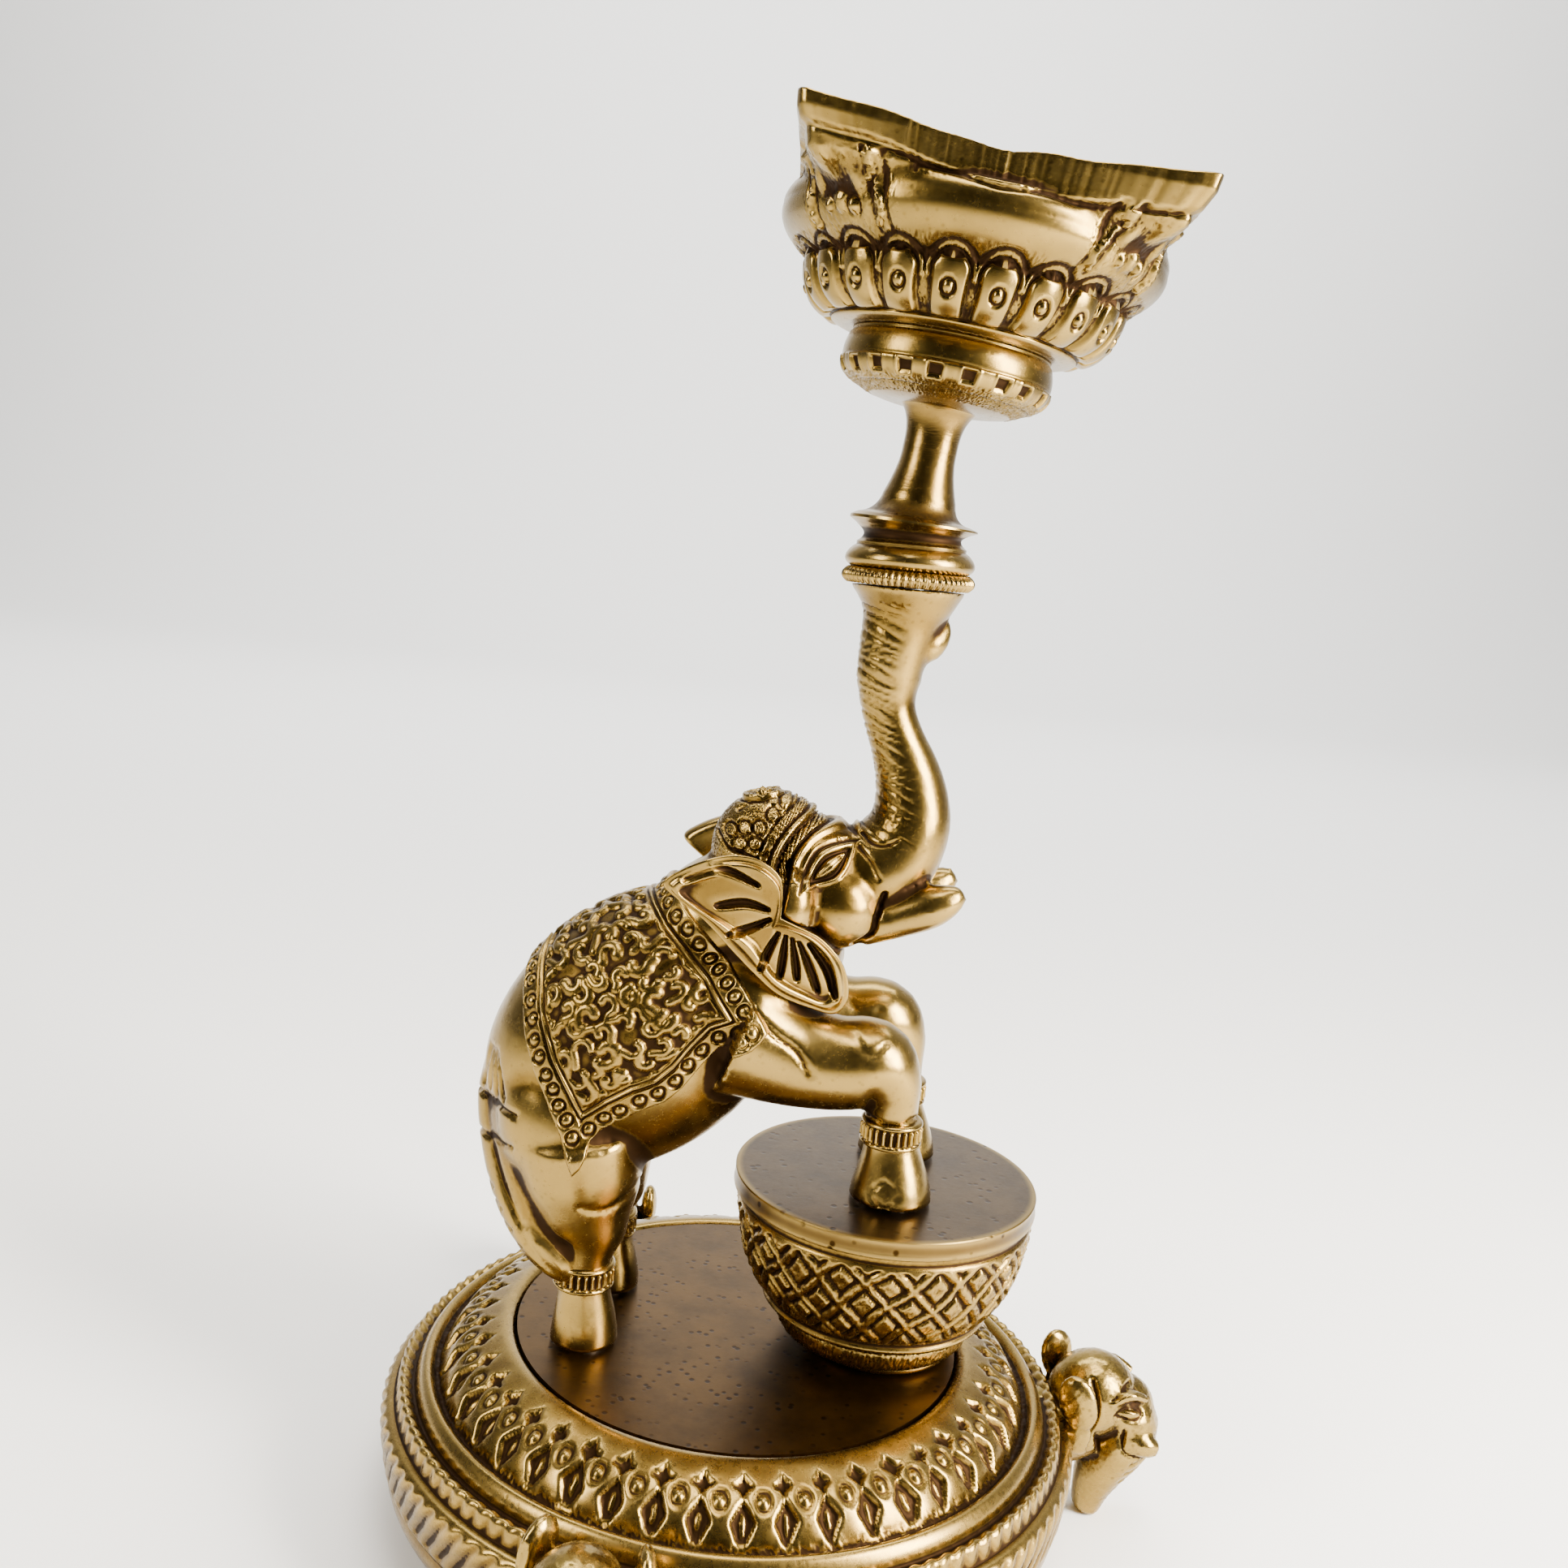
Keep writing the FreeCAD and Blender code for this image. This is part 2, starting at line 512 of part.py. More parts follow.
def export(nodes):
    os.makedirs("parts", exist_ok=True)
    for name, made in nodes.items():
        solids = []
        for shape in made if isinstance(made, list) else [made]:
            solids += shape.Solids
        shape = solids[0] if len(solids) == 1 else Part.makeCompound(solids)
        shape.exportStep("parts/" + name + ".step")
        print(name, len(solids), "solids", round(sum(s.Volume for s in solids) / 1000, 2), "cm3",
              all(s.isValid() for s in solids))
    box = Part.makeCompound([s for m in nodes.values() for s in (m if isinstance(m, list) else [m])]).BoundBox
    print("box", [round(v, 2) for v in (box.XMin, box.XMax, box.YMin, box.YMax, box.ZMin, box.ZMax)])


export(build())
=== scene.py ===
import math

import bmesh
import bpy
import numpy as np
from mathutils import Matrix, Vector
from mathutils.bvhtree import BVHTree


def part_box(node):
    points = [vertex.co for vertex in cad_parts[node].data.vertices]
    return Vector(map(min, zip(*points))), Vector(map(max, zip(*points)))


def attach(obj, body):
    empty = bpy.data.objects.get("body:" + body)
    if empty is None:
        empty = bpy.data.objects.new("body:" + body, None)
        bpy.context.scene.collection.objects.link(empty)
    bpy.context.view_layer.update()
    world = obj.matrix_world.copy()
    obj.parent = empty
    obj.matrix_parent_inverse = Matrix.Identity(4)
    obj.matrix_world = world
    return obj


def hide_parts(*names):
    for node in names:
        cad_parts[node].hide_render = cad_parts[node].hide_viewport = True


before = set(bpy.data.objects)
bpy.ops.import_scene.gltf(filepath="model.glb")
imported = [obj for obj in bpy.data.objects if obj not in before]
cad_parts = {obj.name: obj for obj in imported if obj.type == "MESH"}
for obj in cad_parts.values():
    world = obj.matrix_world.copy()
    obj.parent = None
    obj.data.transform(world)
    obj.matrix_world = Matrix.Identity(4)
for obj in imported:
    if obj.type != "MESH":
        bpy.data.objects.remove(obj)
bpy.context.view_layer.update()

# ---- Where the lamp stands, and the eye that looks at it ----
# A cast and turned brass oil lamp on three feet. Everything is placed from the middle of the deck
# plate's top, which the frame gives, and drawn in millimetres from there.
MM = 0.001
deck_low, deck_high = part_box("deck_plate")
DECK = Vector(((deck_low.x + deck_high.x) / 2, (deck_low.y + deck_high.y) / 2, deck_high.z))


def at(x, y=0.0, z=0.0):
    """A place in millimetres from the middle of the deck plate's top."""
    return DECK + Vector((x, y, z)) * MM


camera = bpy.data.objects.new("camera", bpy.data.cameras.new("camera"))
bpy.context.scene.collection.objects.link(camera)
camera.data.sensor_width = 36
camera.data.lens = 34.45
camera.data.clip_start = 0.02
CAMERA_DIP, CAMERA_ROLL = 9.08, 5.54
dip = Matrix.Rotation(math.radians(90 - CAMERA_DIP), 4, "X")
roll = Matrix.Rotation(math.radians(CAMERA_ROLL), 4, "Z")
camera.matrix_world = Matrix.Translation(at(-1.0, -257.4, 142.2)) @ dip @ roll
bpy.context.scene.camera = camera


# ---- Cast brass: the finish of every casting ----
# Yellow brass poured in sand, filed and buffed on its high parts, then dipped in a brown antiquing
# bath that stays in the hollows. To the eye: warm gold ridges, dark brown grooves, fine casting pits.
def linear(code):
    """An sRGB hex colour as linear red, green, blue and alpha."""
    parts = [int(code[i:i + 2], 16) / 255 for i in (1, 3, 5)]
    return [p / 12.92 if p <= 0.04045 else ((p + 0.055) / 1.055) ** 2.4 for p in parts] + [1.0]


def add(material, kind, settings=None, links=None):
    """Adds a node, sets its properties or sockets by name, and links sockets from (node, output)."""
    tree = material.node_tree
    node = tree.nodes.new(kind)
    for key, value in (settings or {}).items():
        if isinstance(key, str) and hasattr(node, key):
            setattr(node, key, value)
        else:
            node.inputs[key].default_value = value
    for key, source in (links or {}).items():
        tree.links.new(source[0].outputs[source[1]], node.inputs[key])
    return node


def ramp(material, source, stops):
    """A colour ramp fed by (node, output), with stops of (place, hex colour)."""
    node = add(material, "ShaderNodeValToRGB", {}, {"Fac": source})
    while len(node.color_ramp.elements) < len(stops):
        node.color_ramp.elements.new(0.5)
    for element, (place, code) in zip(node.color_ramp.elements, stops):
        element.position = place
        element.color = linear(code)
    return node


def antique_brass(name, gold="#7c622a", tarnish="#543f19", dark="#261604", pit_mm=0.5, pits=0.25, gloss=0.27,
                  film=0.35):
    """Cast brass with patina where the piece's own hollow attribute is high; on the elephant's body that
    attribute also holds painted shade.

    gold and tarnish drift over each other in clouds 9 mm across. dark is the patina and the pits, gloss is
    the roughness, and film says how much of the tarnish is wiped away.
    """
    material = bpy.data.materials.new(name)
    material.use_nodes = True
    material.node_tree.nodes.clear()
    where = add(material, "ShaderNodeTexCoord")
    hollow = add(material, "ShaderNodeAttribute", {"attribute_name": "hollow"})
    cloud = add(material, "ShaderNodeTexNoise", {"Scale": 1 / (9 * MM), "Detail": 5.0, "Roughness": 0.6},
                {"Vector": (where, "Object")})
    grain = add(material, "ShaderNodeTexNoise", {"Scale": 1 / (1.1 * MM), "Detail": 6.0, "Roughness": 0.7},
                {"Vector": (where, "Object")})
    pit = add(material, "ShaderNodeTexVoronoi", {"feature": "F1", "Scale": 1 / (pit_mm * 3 * MM)},
              {"Vector": (where, "Object")})
    # patina, and on the elephant's body painted shade: the hollow, loosened by the grain so that its edge is
    # ragged
    loose = add(material, "ShaderNodeMath", {"operation": "MULTIPLY_ADD", 1: 0.5, 2: -0.25},
                {0: (grain, "Fac")})
    depth = add(material, "ShaderNodeMath", {"operation": "ADD"}, {0: (hollow, "Fac"), 1: (loose, "Value")})
    patina_and_shade = add(material, "ShaderNodeMapRange",
                {"interpolation_type": "SMOOTHSTEP", "From Min": 0.10, "From Max": 0.62},
                {"Value": (depth, "Value")})
    tone = ramp(material, (cloud, "Fac"), [(0.34, tarnish), (0.62, gold)])
    wiped = add(material, "ShaderNodeMix", {"data_type": "RGBA", "Factor": film}, {6: (tone, "Color")})
    wiped.inputs[7].default_value = linear(gold)
    coloured = add(material, "ShaderNodeMix", {"data_type": "RGBA"}, {0: (patina_and_shade, "Result"), 6: (wiped, 2)})
    coloured.inputs[7].default_value = linear(dark)
    # edges that hands and cloths reach are rubbed bright
    worn = add(material, "ShaderNodeMapRange", {"From Min": -0.12, "From Max": -0.8, "To Max": 0.55},
               {"Value": (hollow, "Fac")})
    rubbed = add(material, "ShaderNodeMix", {"data_type": "RGBA"}, {0: (worn, "Result"), 6: (coloured, 2)})
    rubbed.inputs[7].default_value = linear("#a58a4a")
    # casting pits, which gather in cloudy patches
    speck = add(material, "ShaderNodeMapRange",
                {"From Min": 0.16, "From Max": 0.28, "To Min": pits, "To Max": 0.0},
                {"Value": (pit, "Distance")})
    patch = add(material, "ShaderNodeMapRange", {"From Min": 0.43, "From Max": 0.54},
                {"Value": (cloud, "Fac")})
    flecks = add(material, "ShaderNodeMath", {"operation": "MULTIPLY"},
                 {0: (speck, "Result"), 1: (patch, "Result")})
    spotted = add(material, "ShaderNodeMix", {"data_type": "RGBA"}, {0: (flecks, "Value"), 6: (rubbed, 2)})
    spotted.inputs[7].default_value = linear(dark)
    rough = add(material, "ShaderNodeMapRange",
                {"From Min": 0.3, "From Max": 0.75, "To Min": gloss - 0.03, "To Max": gloss + 0.06},
                {"Value": (grain, "Fac")})
    dull = add(material, "ShaderNodeMath", {"operation": "MULTIPLY_ADD", 1: 0.3},
               {0: (patina_and_shade, "Result"), 2: (rough, "Result")})
    shine = add(material, "ShaderNodeMapRange", {"To Min": 1.0, "To Max": 0.92}, {"Value": (patina_and_shade, "Result")})
    uneven = add(material, "ShaderNodeMath", {"operation": "MULTIPLY_ADD", 1: 0.5},
                 {0: (grain, "Fac"), 2: (cloud, "Fac")})
    low = add(material, "ShaderNodeMath", {"operation": "SUBTRACT"},
              {0: (uneven, "Value"), 1: (flecks, "Value")})
    skin = add(material, "ShaderNodeBump", {"Strength": 0.22, "Distance": 0.12 * MM},
               {"Height": (low, "Value")})
    brass = add(material, "ShaderNodeBsdfPrincipled", {}, {
        "Base Color": (spotted, 2), "Roughness": (dull, "Value"), "Metallic": (shine, "Result"),
        "Normal": (skin, "Normal")})
    add(material, "ShaderNodeOutputMaterial", {}, {"Surface": (brass, "BSDF")})
    return material


cast_brass = antique_brass("antique_cast_brass")     # warm satin gold with brown hollows and few pits


# ---- Base casting ----
# A shallow brass drum, cast hollow, turned on its outside and chased by hand: a sloping ring of
# petals with ring punches and star punches, a plain fillet, a rope moulding and a ribbed side.
def profile(points, step=0.4):
    """A fine (radius, height) outline in mm; a point marked "arc" is the middle of a round stretch."""
    fine = [points[0]]
    i = 1
    while i < len(points):
        a = np.array(fine[-1], float)
        if points[i][0] == "arc":
            m, b = np.array(points[i][1:], float), np.array(points[i + 1], float)
            i += 1
            pull = 2 * m - (a + b) / 2
        else:
            b = np.array(points[i], float)
            pull = (a + b) / 2
        count = max(2, int(np.linalg.norm(b - a) / step) + 1)
        for t in np.linspace(0, 1, count + 1)[1:]:
            fine.append(tuple((1 - t) ** 2 * a + 2 * t * (1 - t) * pull + t * t * b))
        i += 1
    return fine


def turned(points, x, y, z, steps):
    """An outline carried round the vertical axis at x, y: a grid is rolled up and its seam is welded."""
    shape = bmesh.new()
    rows = len(points)
    bmesh.ops.create_grid(shape, x_segments=steps, y_segments=rows - 1, size=0.5)
    turn, row = (np.array([v.co[k] + 0.5 for v in shape.verts]) for k in (0, 1))
    r, h = (np.interp(row * (rows - 1), np.arange(rows), [p[k] for p in points]) for k in (0, 1))
    centre = at(x, y, z)
    for vert, a, radius, high in zip(shape.verts, turn * math.tau, r, h):
        vert.co = centre + Vector((radius * math.cos(a), radius * math.sin(a), high)) * MM
    seam = [v for v in shape.verts if len(v.link_faces) < 4]
    bmesh.ops.remove_doubles(shape, verts=seam, dist=0.001 * MM)
    bmesh.ops.recalc_face_normals(shape, faces=shape.faces)
    return shape


def finish_piece(shape, name, material, body, stands_for=(), sharp=None):
    """Makes the object, says what it rides on, hides the CAD nodes it stands for and gives its finish a slot.
    """
    mesh = bpy.data.meshes.new(name)
    shape.to_mesh(mesh)
    shape.free()
    for face in mesh.polygons:
        face.use_smooth = True
    if sharp:
        mesh.set_sharp_from_angle(angle=math.radians(sharp))
    mesh.materials.append(material)
    piece = bpy.data.objects.new(name, mesh)
    bpy.context.scene.collection.objects.link(piece)
    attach(piece, body)
    if stands_for:
        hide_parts(*stands_for)
    return piece


def places(mesh):
    """Every vertex's place, in metres."""
    co = np.zeros(len(mesh.vertices) * 3)
    mesh.vertices.foreach_get("co", co)
    return co.reshape(-1, 3)


def outward(mesh):
    """Every vertex's outward direction."""
    n = np.zeros(len(mesh.vertices) * 3)
    mesh.vertex_normals.foreach_get("vector", n)
    return n.reshape(-1, 3)


def raise_relief(mesh, height_mm):
    """Moves every vertex out along its normal by its own height, in mm."""
    co = places(mesh) + outward(mesh) * (height_mm * MM)[:, None]
    mesh.vertices.foreach_set("co", co.ravel())
    mesh.update()


def stain_hollows(mesh, reach_mm=1.6, depth_mm=0.22):
    """Stores how far each vertex lies below the surface around it: patina gathers there."""
    co, n = places(mesh), outward(mesh)
    edges = np.zeros(len(mesh.edges) * 2, int)
    mesh.edges.foreach_get("vertices", edges)
    a, b = edges.reshape(-1, 2).T
    size = np.median(np.linalg.norm(co[a] - co[b], axis=1))
    count = np.bincount(a, minlength=len(co)) + np.bincount(b, minlength=len(co)) + 1e-9
    soft = co.copy()
    for _ in range(int(min(80, max(4, (reach_mm * MM / size) ** 2)))):
        total = np.stack([np.bincount(a, soft[b, k], len(co)) + np.bincount(b, soft[a, k], len(co))
                          for k in range(3)], axis=1)
        soft = soft * 0.3 + 0.7 * total / count[:, None]
    below = ((soft - co) * n).sum(axis=1) / (depth_mm * MM)
    layer = mesh.attributes.new("hollow", "FLOAT", "POINT")
    layer.data.foreach_set("value", np.clip(below, -1, 1))


def bump(t):
    """1 at 0, falling smoothly to 0 at 1 and beyond."""
    return np.clip(1 - np.asarray(t) ** 2, 0, 1) ** 1.5


def step_up(t):
    """0 below 0, 1 above 1, smooth between."""
    t = np.clip(t, 0, 1)
    return t * t * (3 - 2 * t)


def cell(angle, count, shift=0.0):
    """Which of count repeats a vertex lies in, and its place in it from -0.5 to 0.5."""
    turn = angle / math.tau * count + shift
    which = np.floor(turn)
    return which.astype(int) % count, turn - which - 0.5


def around(mesh, x, y):
    """Each vertex's angle about the vertical axis at x, y, and its distance from it in mm."""
    d = (places(mesh) - np.array(at(x, y)))[:, :2] / MM
    return np.arctan2(d[:, 1], d[:, 0]), np.hypot(d[:, 0], d[:, 1])


chance = np.random.default_rng(7)
PETALS = 46                # petals of the sloping ring
PETAL_R = 48.4             # radius of their ring punches
ROPE_RIBS = 118            # strands of the rope moulding
SIDE_RIBS = 104            # slanting ribs of the side
BASE_FLOOR = -(DECK.z / MM) + 3.0
base_outline = profile([
    (40.25, -2.4), (40.25, -0.75), (40.9, 0.1), ("arc", 42.0, 0.35), (43.6, 0.0), ("arc", 49.0, -2.6),
    (52.6, -6.9), (53.2, -8.1), (53.9, -7.9), ("arc", 55.3, -6.5), (56.8, -8.1), (57.3, -9.8), (57.9, -9.6),
    ("arc", 59.5, -8.6), (60.2, -10.6), (60.5, -11.9), (60.9, -11.9), ("arc", 62.6, -13.2), (62.5, -17.0),
    (62.1, -20.6), (61.4, -21.2), (61.3, -21.7), ("arc", 60.4, -26.0), (55.5, BASE_FLOOR),
    (51.6, BASE_FLOOR)], 0.55)
base = turned(base_outline, 0, 0, 0, 920)
inside = turned(profile([
    (51.6, BASE_FLOOR), ("arc", 57.6, -24.0), (58.6, -18.0), ("arc", 55.4, -11.6), (46.0, -5.7),
    (0.05, -5.7)], 3.0), 0, 0, 0, 180)
bmesh.ops.reverse_faces(inside, faces=[f for f in inside.faces if f.normal.dot(
    f.calc_center_median() - at(0, 0, -20)) > 0])
# buffed over, so that petals and ribs shine above brown grounds
base_finish = antique_brass("cast_brass_base", film=0.3, pits=0.3)
base_shell = finish_piece(base, "base_casting", base_finish, "lamp", ["base_shell"])
# never buffed: dull, brown and pitted, as it came from the sand
rough_casting = antique_brass("cast_brass_unpolished", gold="#624a28", tarnish="#42301b", gloss=0.5, pits=0.6)
finish_piece(inside, "base_inside", rough_casting, "lamp", sharp=40)
mesh = base_shell.data
angle, radius = around(mesh, 0, 0)
low = (places(mesh)[:, 2] - DECK.z) / MM
top_side = (low > -8.6) & (radius < 53.6)
# the sloping ring: a ring punch in each petal, a star above and a leaf below between every two
which, turn = cell(angle, PETALS)
wobble = chance.uniform(-0.28, 0.28, (PETALS, 2))
across = turn * math.tau * radius / PETALS + wobble[which, 0]
out = radius - PETAL_R + wobble[which, 1]
height = -0.42 * bump((np.hypot(across, out) - 1.15) / 0.55)
height += 0.16 * bump(np.hypot(across, out) / 0.8)
_, half = cell(angle, PETALS, 0.5)
between = half * math.tau * radius / PETALS + wobble[which, 1]
star = (np.abs(between) / 2.0) ** 0.62 + (np.abs(out + 2.2) / 2.3) ** 0.62
height -= 0.95 * step_up((1.12 - star) / 0.35)
leaf = np.abs(between) / 2.15 + np.abs(out - 2.35) / 2.7
height -= 1.0 * step_up((1.1 - leaf) / 0.35)
height += 0.45 * bump(between / 0.5) * bump((out - 2.35) / 1.7)
lobe = np.hypot(across / 2.7, (out - 1.2) / 3.0)
height += 0.30 * bump(lobe / 1.25)
ragged = chance.normal(0, 1, len(radius))
height += 0.07 * ragged * (step_up((1.3 - leaf) / 0.3) + step_up((1.2 - star) / 0.3))
height *= step_up((radius - 43.9) / 0.9) * step_up((52.9 - radius) / 0.7)
height[~top_side] = 0
grain_band = top_side & (radius > 52.4)
height[grain_band] += 0.10 * ragged[grain_band]
# the rope moulding, and the slanting ribs of the side
rope = step_up((radius - 57.6) / 0.8) * step_up((60.6 - radius) / 0.6) * (low > -12.2)
_, strand = cell(angle + 0.018 * (radius - 59.0), ROPE_RIBS)
height += rope * (0.42 * bump(strand / 0.46) - 0.30)
side = step_up((-12.2 - low) / 0.9) * step_up((low + 20.6) / 0.8) * (radius > 60.5)
_, rib = cell(angle - 0.012 * (low + 16), SIDE_RIBS)
height += side * (0.55 * bump(rib / 0.44) - 0.38)
raise_relief(mesh, height)
stain_hollows(mesh, 1.7, 0.24)


# ---- Deck plate ----
# A flat brass disc dropped into the seat of the base casting, sanded flat and left with small
# casting pits. It is the solid from the frame. To the eye: duller and browner than the castings.
sanded_deck = antique_brass("sanded_brass_deck", gold="#543c17", tarnish="#3b290e", gloss=0.36, pits=0.95,
                            pit_mm=0.7, film=0.25)
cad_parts["deck_plate"].data.materials.clear()
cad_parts["deck_plate"].data.materials.append(sanded_deck)

# ---- Pedestal ----
# A cast drum with a diamond lattice in relief, standing on a small turned foot and closed by a
# turned plate with a bright lip. A bolt through the middle holds all three to the base.
drum_low, drum_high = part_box("pedestal_drum")
PED = ((drum_low.x + drum_high.x) / 2 - DECK.x) / MM
PLATE_LOW = (drum_high.z - DECK.z) / MM
DIAMONDS = 20                              # diamonds round the drum
LATTICE_LOW, DIAMOND_TALL = 9.6, 8.6
drum = turned(profile([
    (3.4, 2.2), (14.4, 2.2), ("arc", 16.6, 3.0), (17.6, 5.0), ("arc", 17.7, 6.6), (16.7, 7.0),
    ("arc", 18.6, 7.2), (20.6, 8.6), (20.2, 9.6), ("arc", 24.2, 15.4), (25.9, 22.4), ("arc", 26.5, 25.0),
    (26.3, 26.6), (25.9, 27.0), (25.9, PLATE_LOW)], 0.36), PED, 0, 0, 560)
drum_finish = antique_brass("cast_brass_drum", pits=0.25)     # bright diamonds and ribs over brown trenches
pedestal_drum = finish_piece(drum, "pedestal_drum_lattice", drum_finish, "lamp",
                             ["pedestal_drum"])
mesh = pedestal_drum.data
angle, radius = around(mesh, PED, 0)
high = (places(mesh)[:, 2] - DECK.z) / MM
# two families of slanting ribs cross, with a raised diamond in each gap and a trench round it
p = angle / math.tau * DIAMONDS
q = (high - LATTICE_LOW) / DIAMOND_TALL
wander = 0.075 * np.sin(p * 2.1 + 3 * q) + 0.06 * np.sin(p * 0.7 + 1.3)
one, two = p + q + wander, p - q - wander
near_one = np.abs(one - np.round(one))
near_two = np.abs(two - np.round(two))
ribs = np.maximum(bump(near_one / 0.15), bump(near_two / 0.15))
pad = np.minimum(step_up((near_one - 0.22) / 0.07), step_up((near_two - 0.22) / 0.07))
trench = np.maximum(bump((near_one - 0.185) / 0.07), bump((near_two - 0.185) / 0.07))
height = 0.38 * ribs + 0.42 * pad - 0.42 * trench * (1 - ribs) - 0.30
height += 0.06 * chance.normal(0, 1, len(high))
inside_band = step_up((high - 10.0) / 0.7) * step_up((26.3 - high) / 0.7) * (radius > 19)
ring_band = step_up((high - 2.8) / 0.5) * step_up((8.4 - high) / 0.4) * (radius > 15.0)
height = height * inside_band + ring_band * 0.09 * chance.normal(0, 1, len(high))
raise_relief(mesh, height)
stain_hollows(mesh, 1.3, 0.17)

# the small foot sits a little forward of the drum's own middle
foot = turned(profile([(3.4, 0.0), (12.6, 0.0), ("arc", 13.8, 1.1), (12.9, 2.2), (3.4, 2.2)], 0.5),
              PED + 1.4, 0, 0, 120)
pedestal_foot = finish_piece(foot, "pedestal_turned_foot", cast_brass, "lamp",
                             ["pedestal_foot"], sharp=40)
stain_hollows(pedestal_foot.data)

# the turned plate: darker than the drum, with a bright lip and scattered pits
PLATE_HIGH = (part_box("pedestal_top_plate")[1].z - DECK.z) / MM
plate = turned(profile([
    (0.02, PLATE_LOW), (25.9, PLATE_LOW), (26.5, PLATE_LOW + 0.1), ("arc", 27.2, PLATE_LOW + 0.5),
    (27.15, PLATE_LOW + 1.2), (27.1, PLATE_HIGH - 0.55), ("arc", 27.1, PLATE_HIGH - 0.1), (26.6, PLATE_HIGH),
    (0.02, PLATE_HIGH)], 0.35), PED - 0.3, 0, 0, 300)
plate_finish = antique_brass("turned_brass_plate", gold="#49361a", tarnish="#30210e", gloss=0.32, pits=0.95,
                             pit_mm=0.8, film=0.2)
top_plate = finish_piece(plate, "pedestal_top", plate_finish, "lamp",
                         ["pedestal_top_plate"], sharp=30)
stain_hollows(top_plate.data)

# ---- Elephant-head feet ----
# Three small brass castings, filed and screwed to the side of the base from inside. Each is an
# elephant's head with swept ears and short tusks, whose broad trunk tapers down to the floor.
def eased(stations, steps=4):
    """More stations on a smooth curve through the given ones."""
    s = np.array([stations[0], *stations, stations[-1]], float)
    fine = []
    for i in range(1, len(s) - 2):
        for t in np.arange(steps) / steps:
            fine.append(0.5 * (2 * s[i] + (s[i + 1] - s[i - 1]) * t
                               + (2 * s[i - 1] - 5 * s[i] + 4 * s[i + 1] - s[i + 2]) * t ** 2
                               + (3 * s[i] - s[i - 1] - 3 * s[i + 1] + s[i + 2]) * t ** 3))
    return [tuple(f) for f in fine] + [tuple(s[-1])]


def tube(shape, stations, sides=28, smooth=4, flat=1.0):
    """A closed skin through round sections (x, y, z, radius) in mm, squashed sideways by flat."""
    runs = eased(stations, smooth)
    loops = []
    for i, (x, y, z, r) in enumerate(runs):
        a, b = runs[max(i - 1, 0)], runs[min(i + 1, len(runs) - 1)]
        turn = Vector((b[0] - a[0], b[1] - a[1], b[2] - a[2])).to_track_quat("Z", "Y").to_matrix().to_4x4()
        place = Matrix.Translation(at(x, y, z)) @ turn @ Matrix.Diagonal((1, flat, 1, 1))
        made = bmesh.ops.create_circle(shape, cap_ends=i in (0, len(runs) - 1), segments=sides, radius=r * MM,
                                       matrix=place)
        loops.append({e for v in made["verts"] for e in v.link_edges})
    for a, b in zip(loops, loops[1:]):
        rims = {e for e in a if e.is_valid} | {e for e in b if e.is_valid}
        bmesh.ops.bridge_loops(shape, edges=list(rims))


def blob(shape, x, y, z, size, pitch=0.0, yaw=0.0):
    """An ellipsoid with half-sizes in mm, pitched nose-up about Y and then turned about Z."""
    turn = Matrix.Rotation(math.radians(yaw), 4, "Z") @ Matrix.Rotation(math.radians(-pitch), 4, "Y")
    place = Matrix.Translation(at(x, y, z)) @ turn @ Matrix.Diagonal((*(s * MM for s in size), 1))
    bmesh.ops.create_icosphere(shape, subdivisions=4, radius=1.0, matrix=place)


def melt(shape, name, voxel_mm, smoothing):
    """Runs overlapping skins together into one, as wax is worked, and gives back a plain mesh."""
    mesh = bpy.data.meshes.new(name)
    bmesh.ops.recalc_face_normals(shape, faces=shape.faces)
    shape.to_mesh(mesh)
    shape.free()
    lump = bpy.data.objects.new(name, mesh)
    bpy.context.scene.collection.objects.link(lump)
    remesh = lump.modifiers.new("melt", "REMESH")
    remesh.mode = "VOXEL"
    remesh.voxel_size = voxel_mm * MM
    smooth = lump.modifiers.new("rub", "SMOOTH")
    smooth.factor = 0.5
    smooth.iterations = smoothing
    made = bpy.data.meshes.new_from_object(lump.evaluated_get(bpy.context.evaluated_depsgraph_get()))
    bpy.data.objects.remove(lump)
    melted = bmesh.new()
    melted.from_mesh(made)
    bpy.data.meshes.remove(made)
    return melted


def paths_near(where, path, width):
    """1 on a line through points in mm, falling to 0 at half its width; where is an N by k array."""
    path = [np.array(p, float) for p in path]
    best = np.full(len(where), 9.0)
    for a, b in zip(path, path[1:]):
        low, high = np.minimum(a, b) - width / 2, np.maximum(a, b) + width / 2
        near = np.flatnonzero(((where >= low) & (where <= high)).all(axis=1))
        if len(near) == 0:
            continue
        d, line = where[near] - a, b - a
        t = np.clip(d @ line / max(line @ line, 1e-9), 0, 1)
        best[near] = np.minimum(best[near], np.linalg.norm(d - t[:, None] * line, axis=1) / (width / 2))
    return bump(best)


def curve(points, steps=6):
    """A smooth line through points on a flat drawing."""
    return eased([(p[0], p[1]) for p in points], steps)


FOOT_DOWN = -(DECK.z / MM)


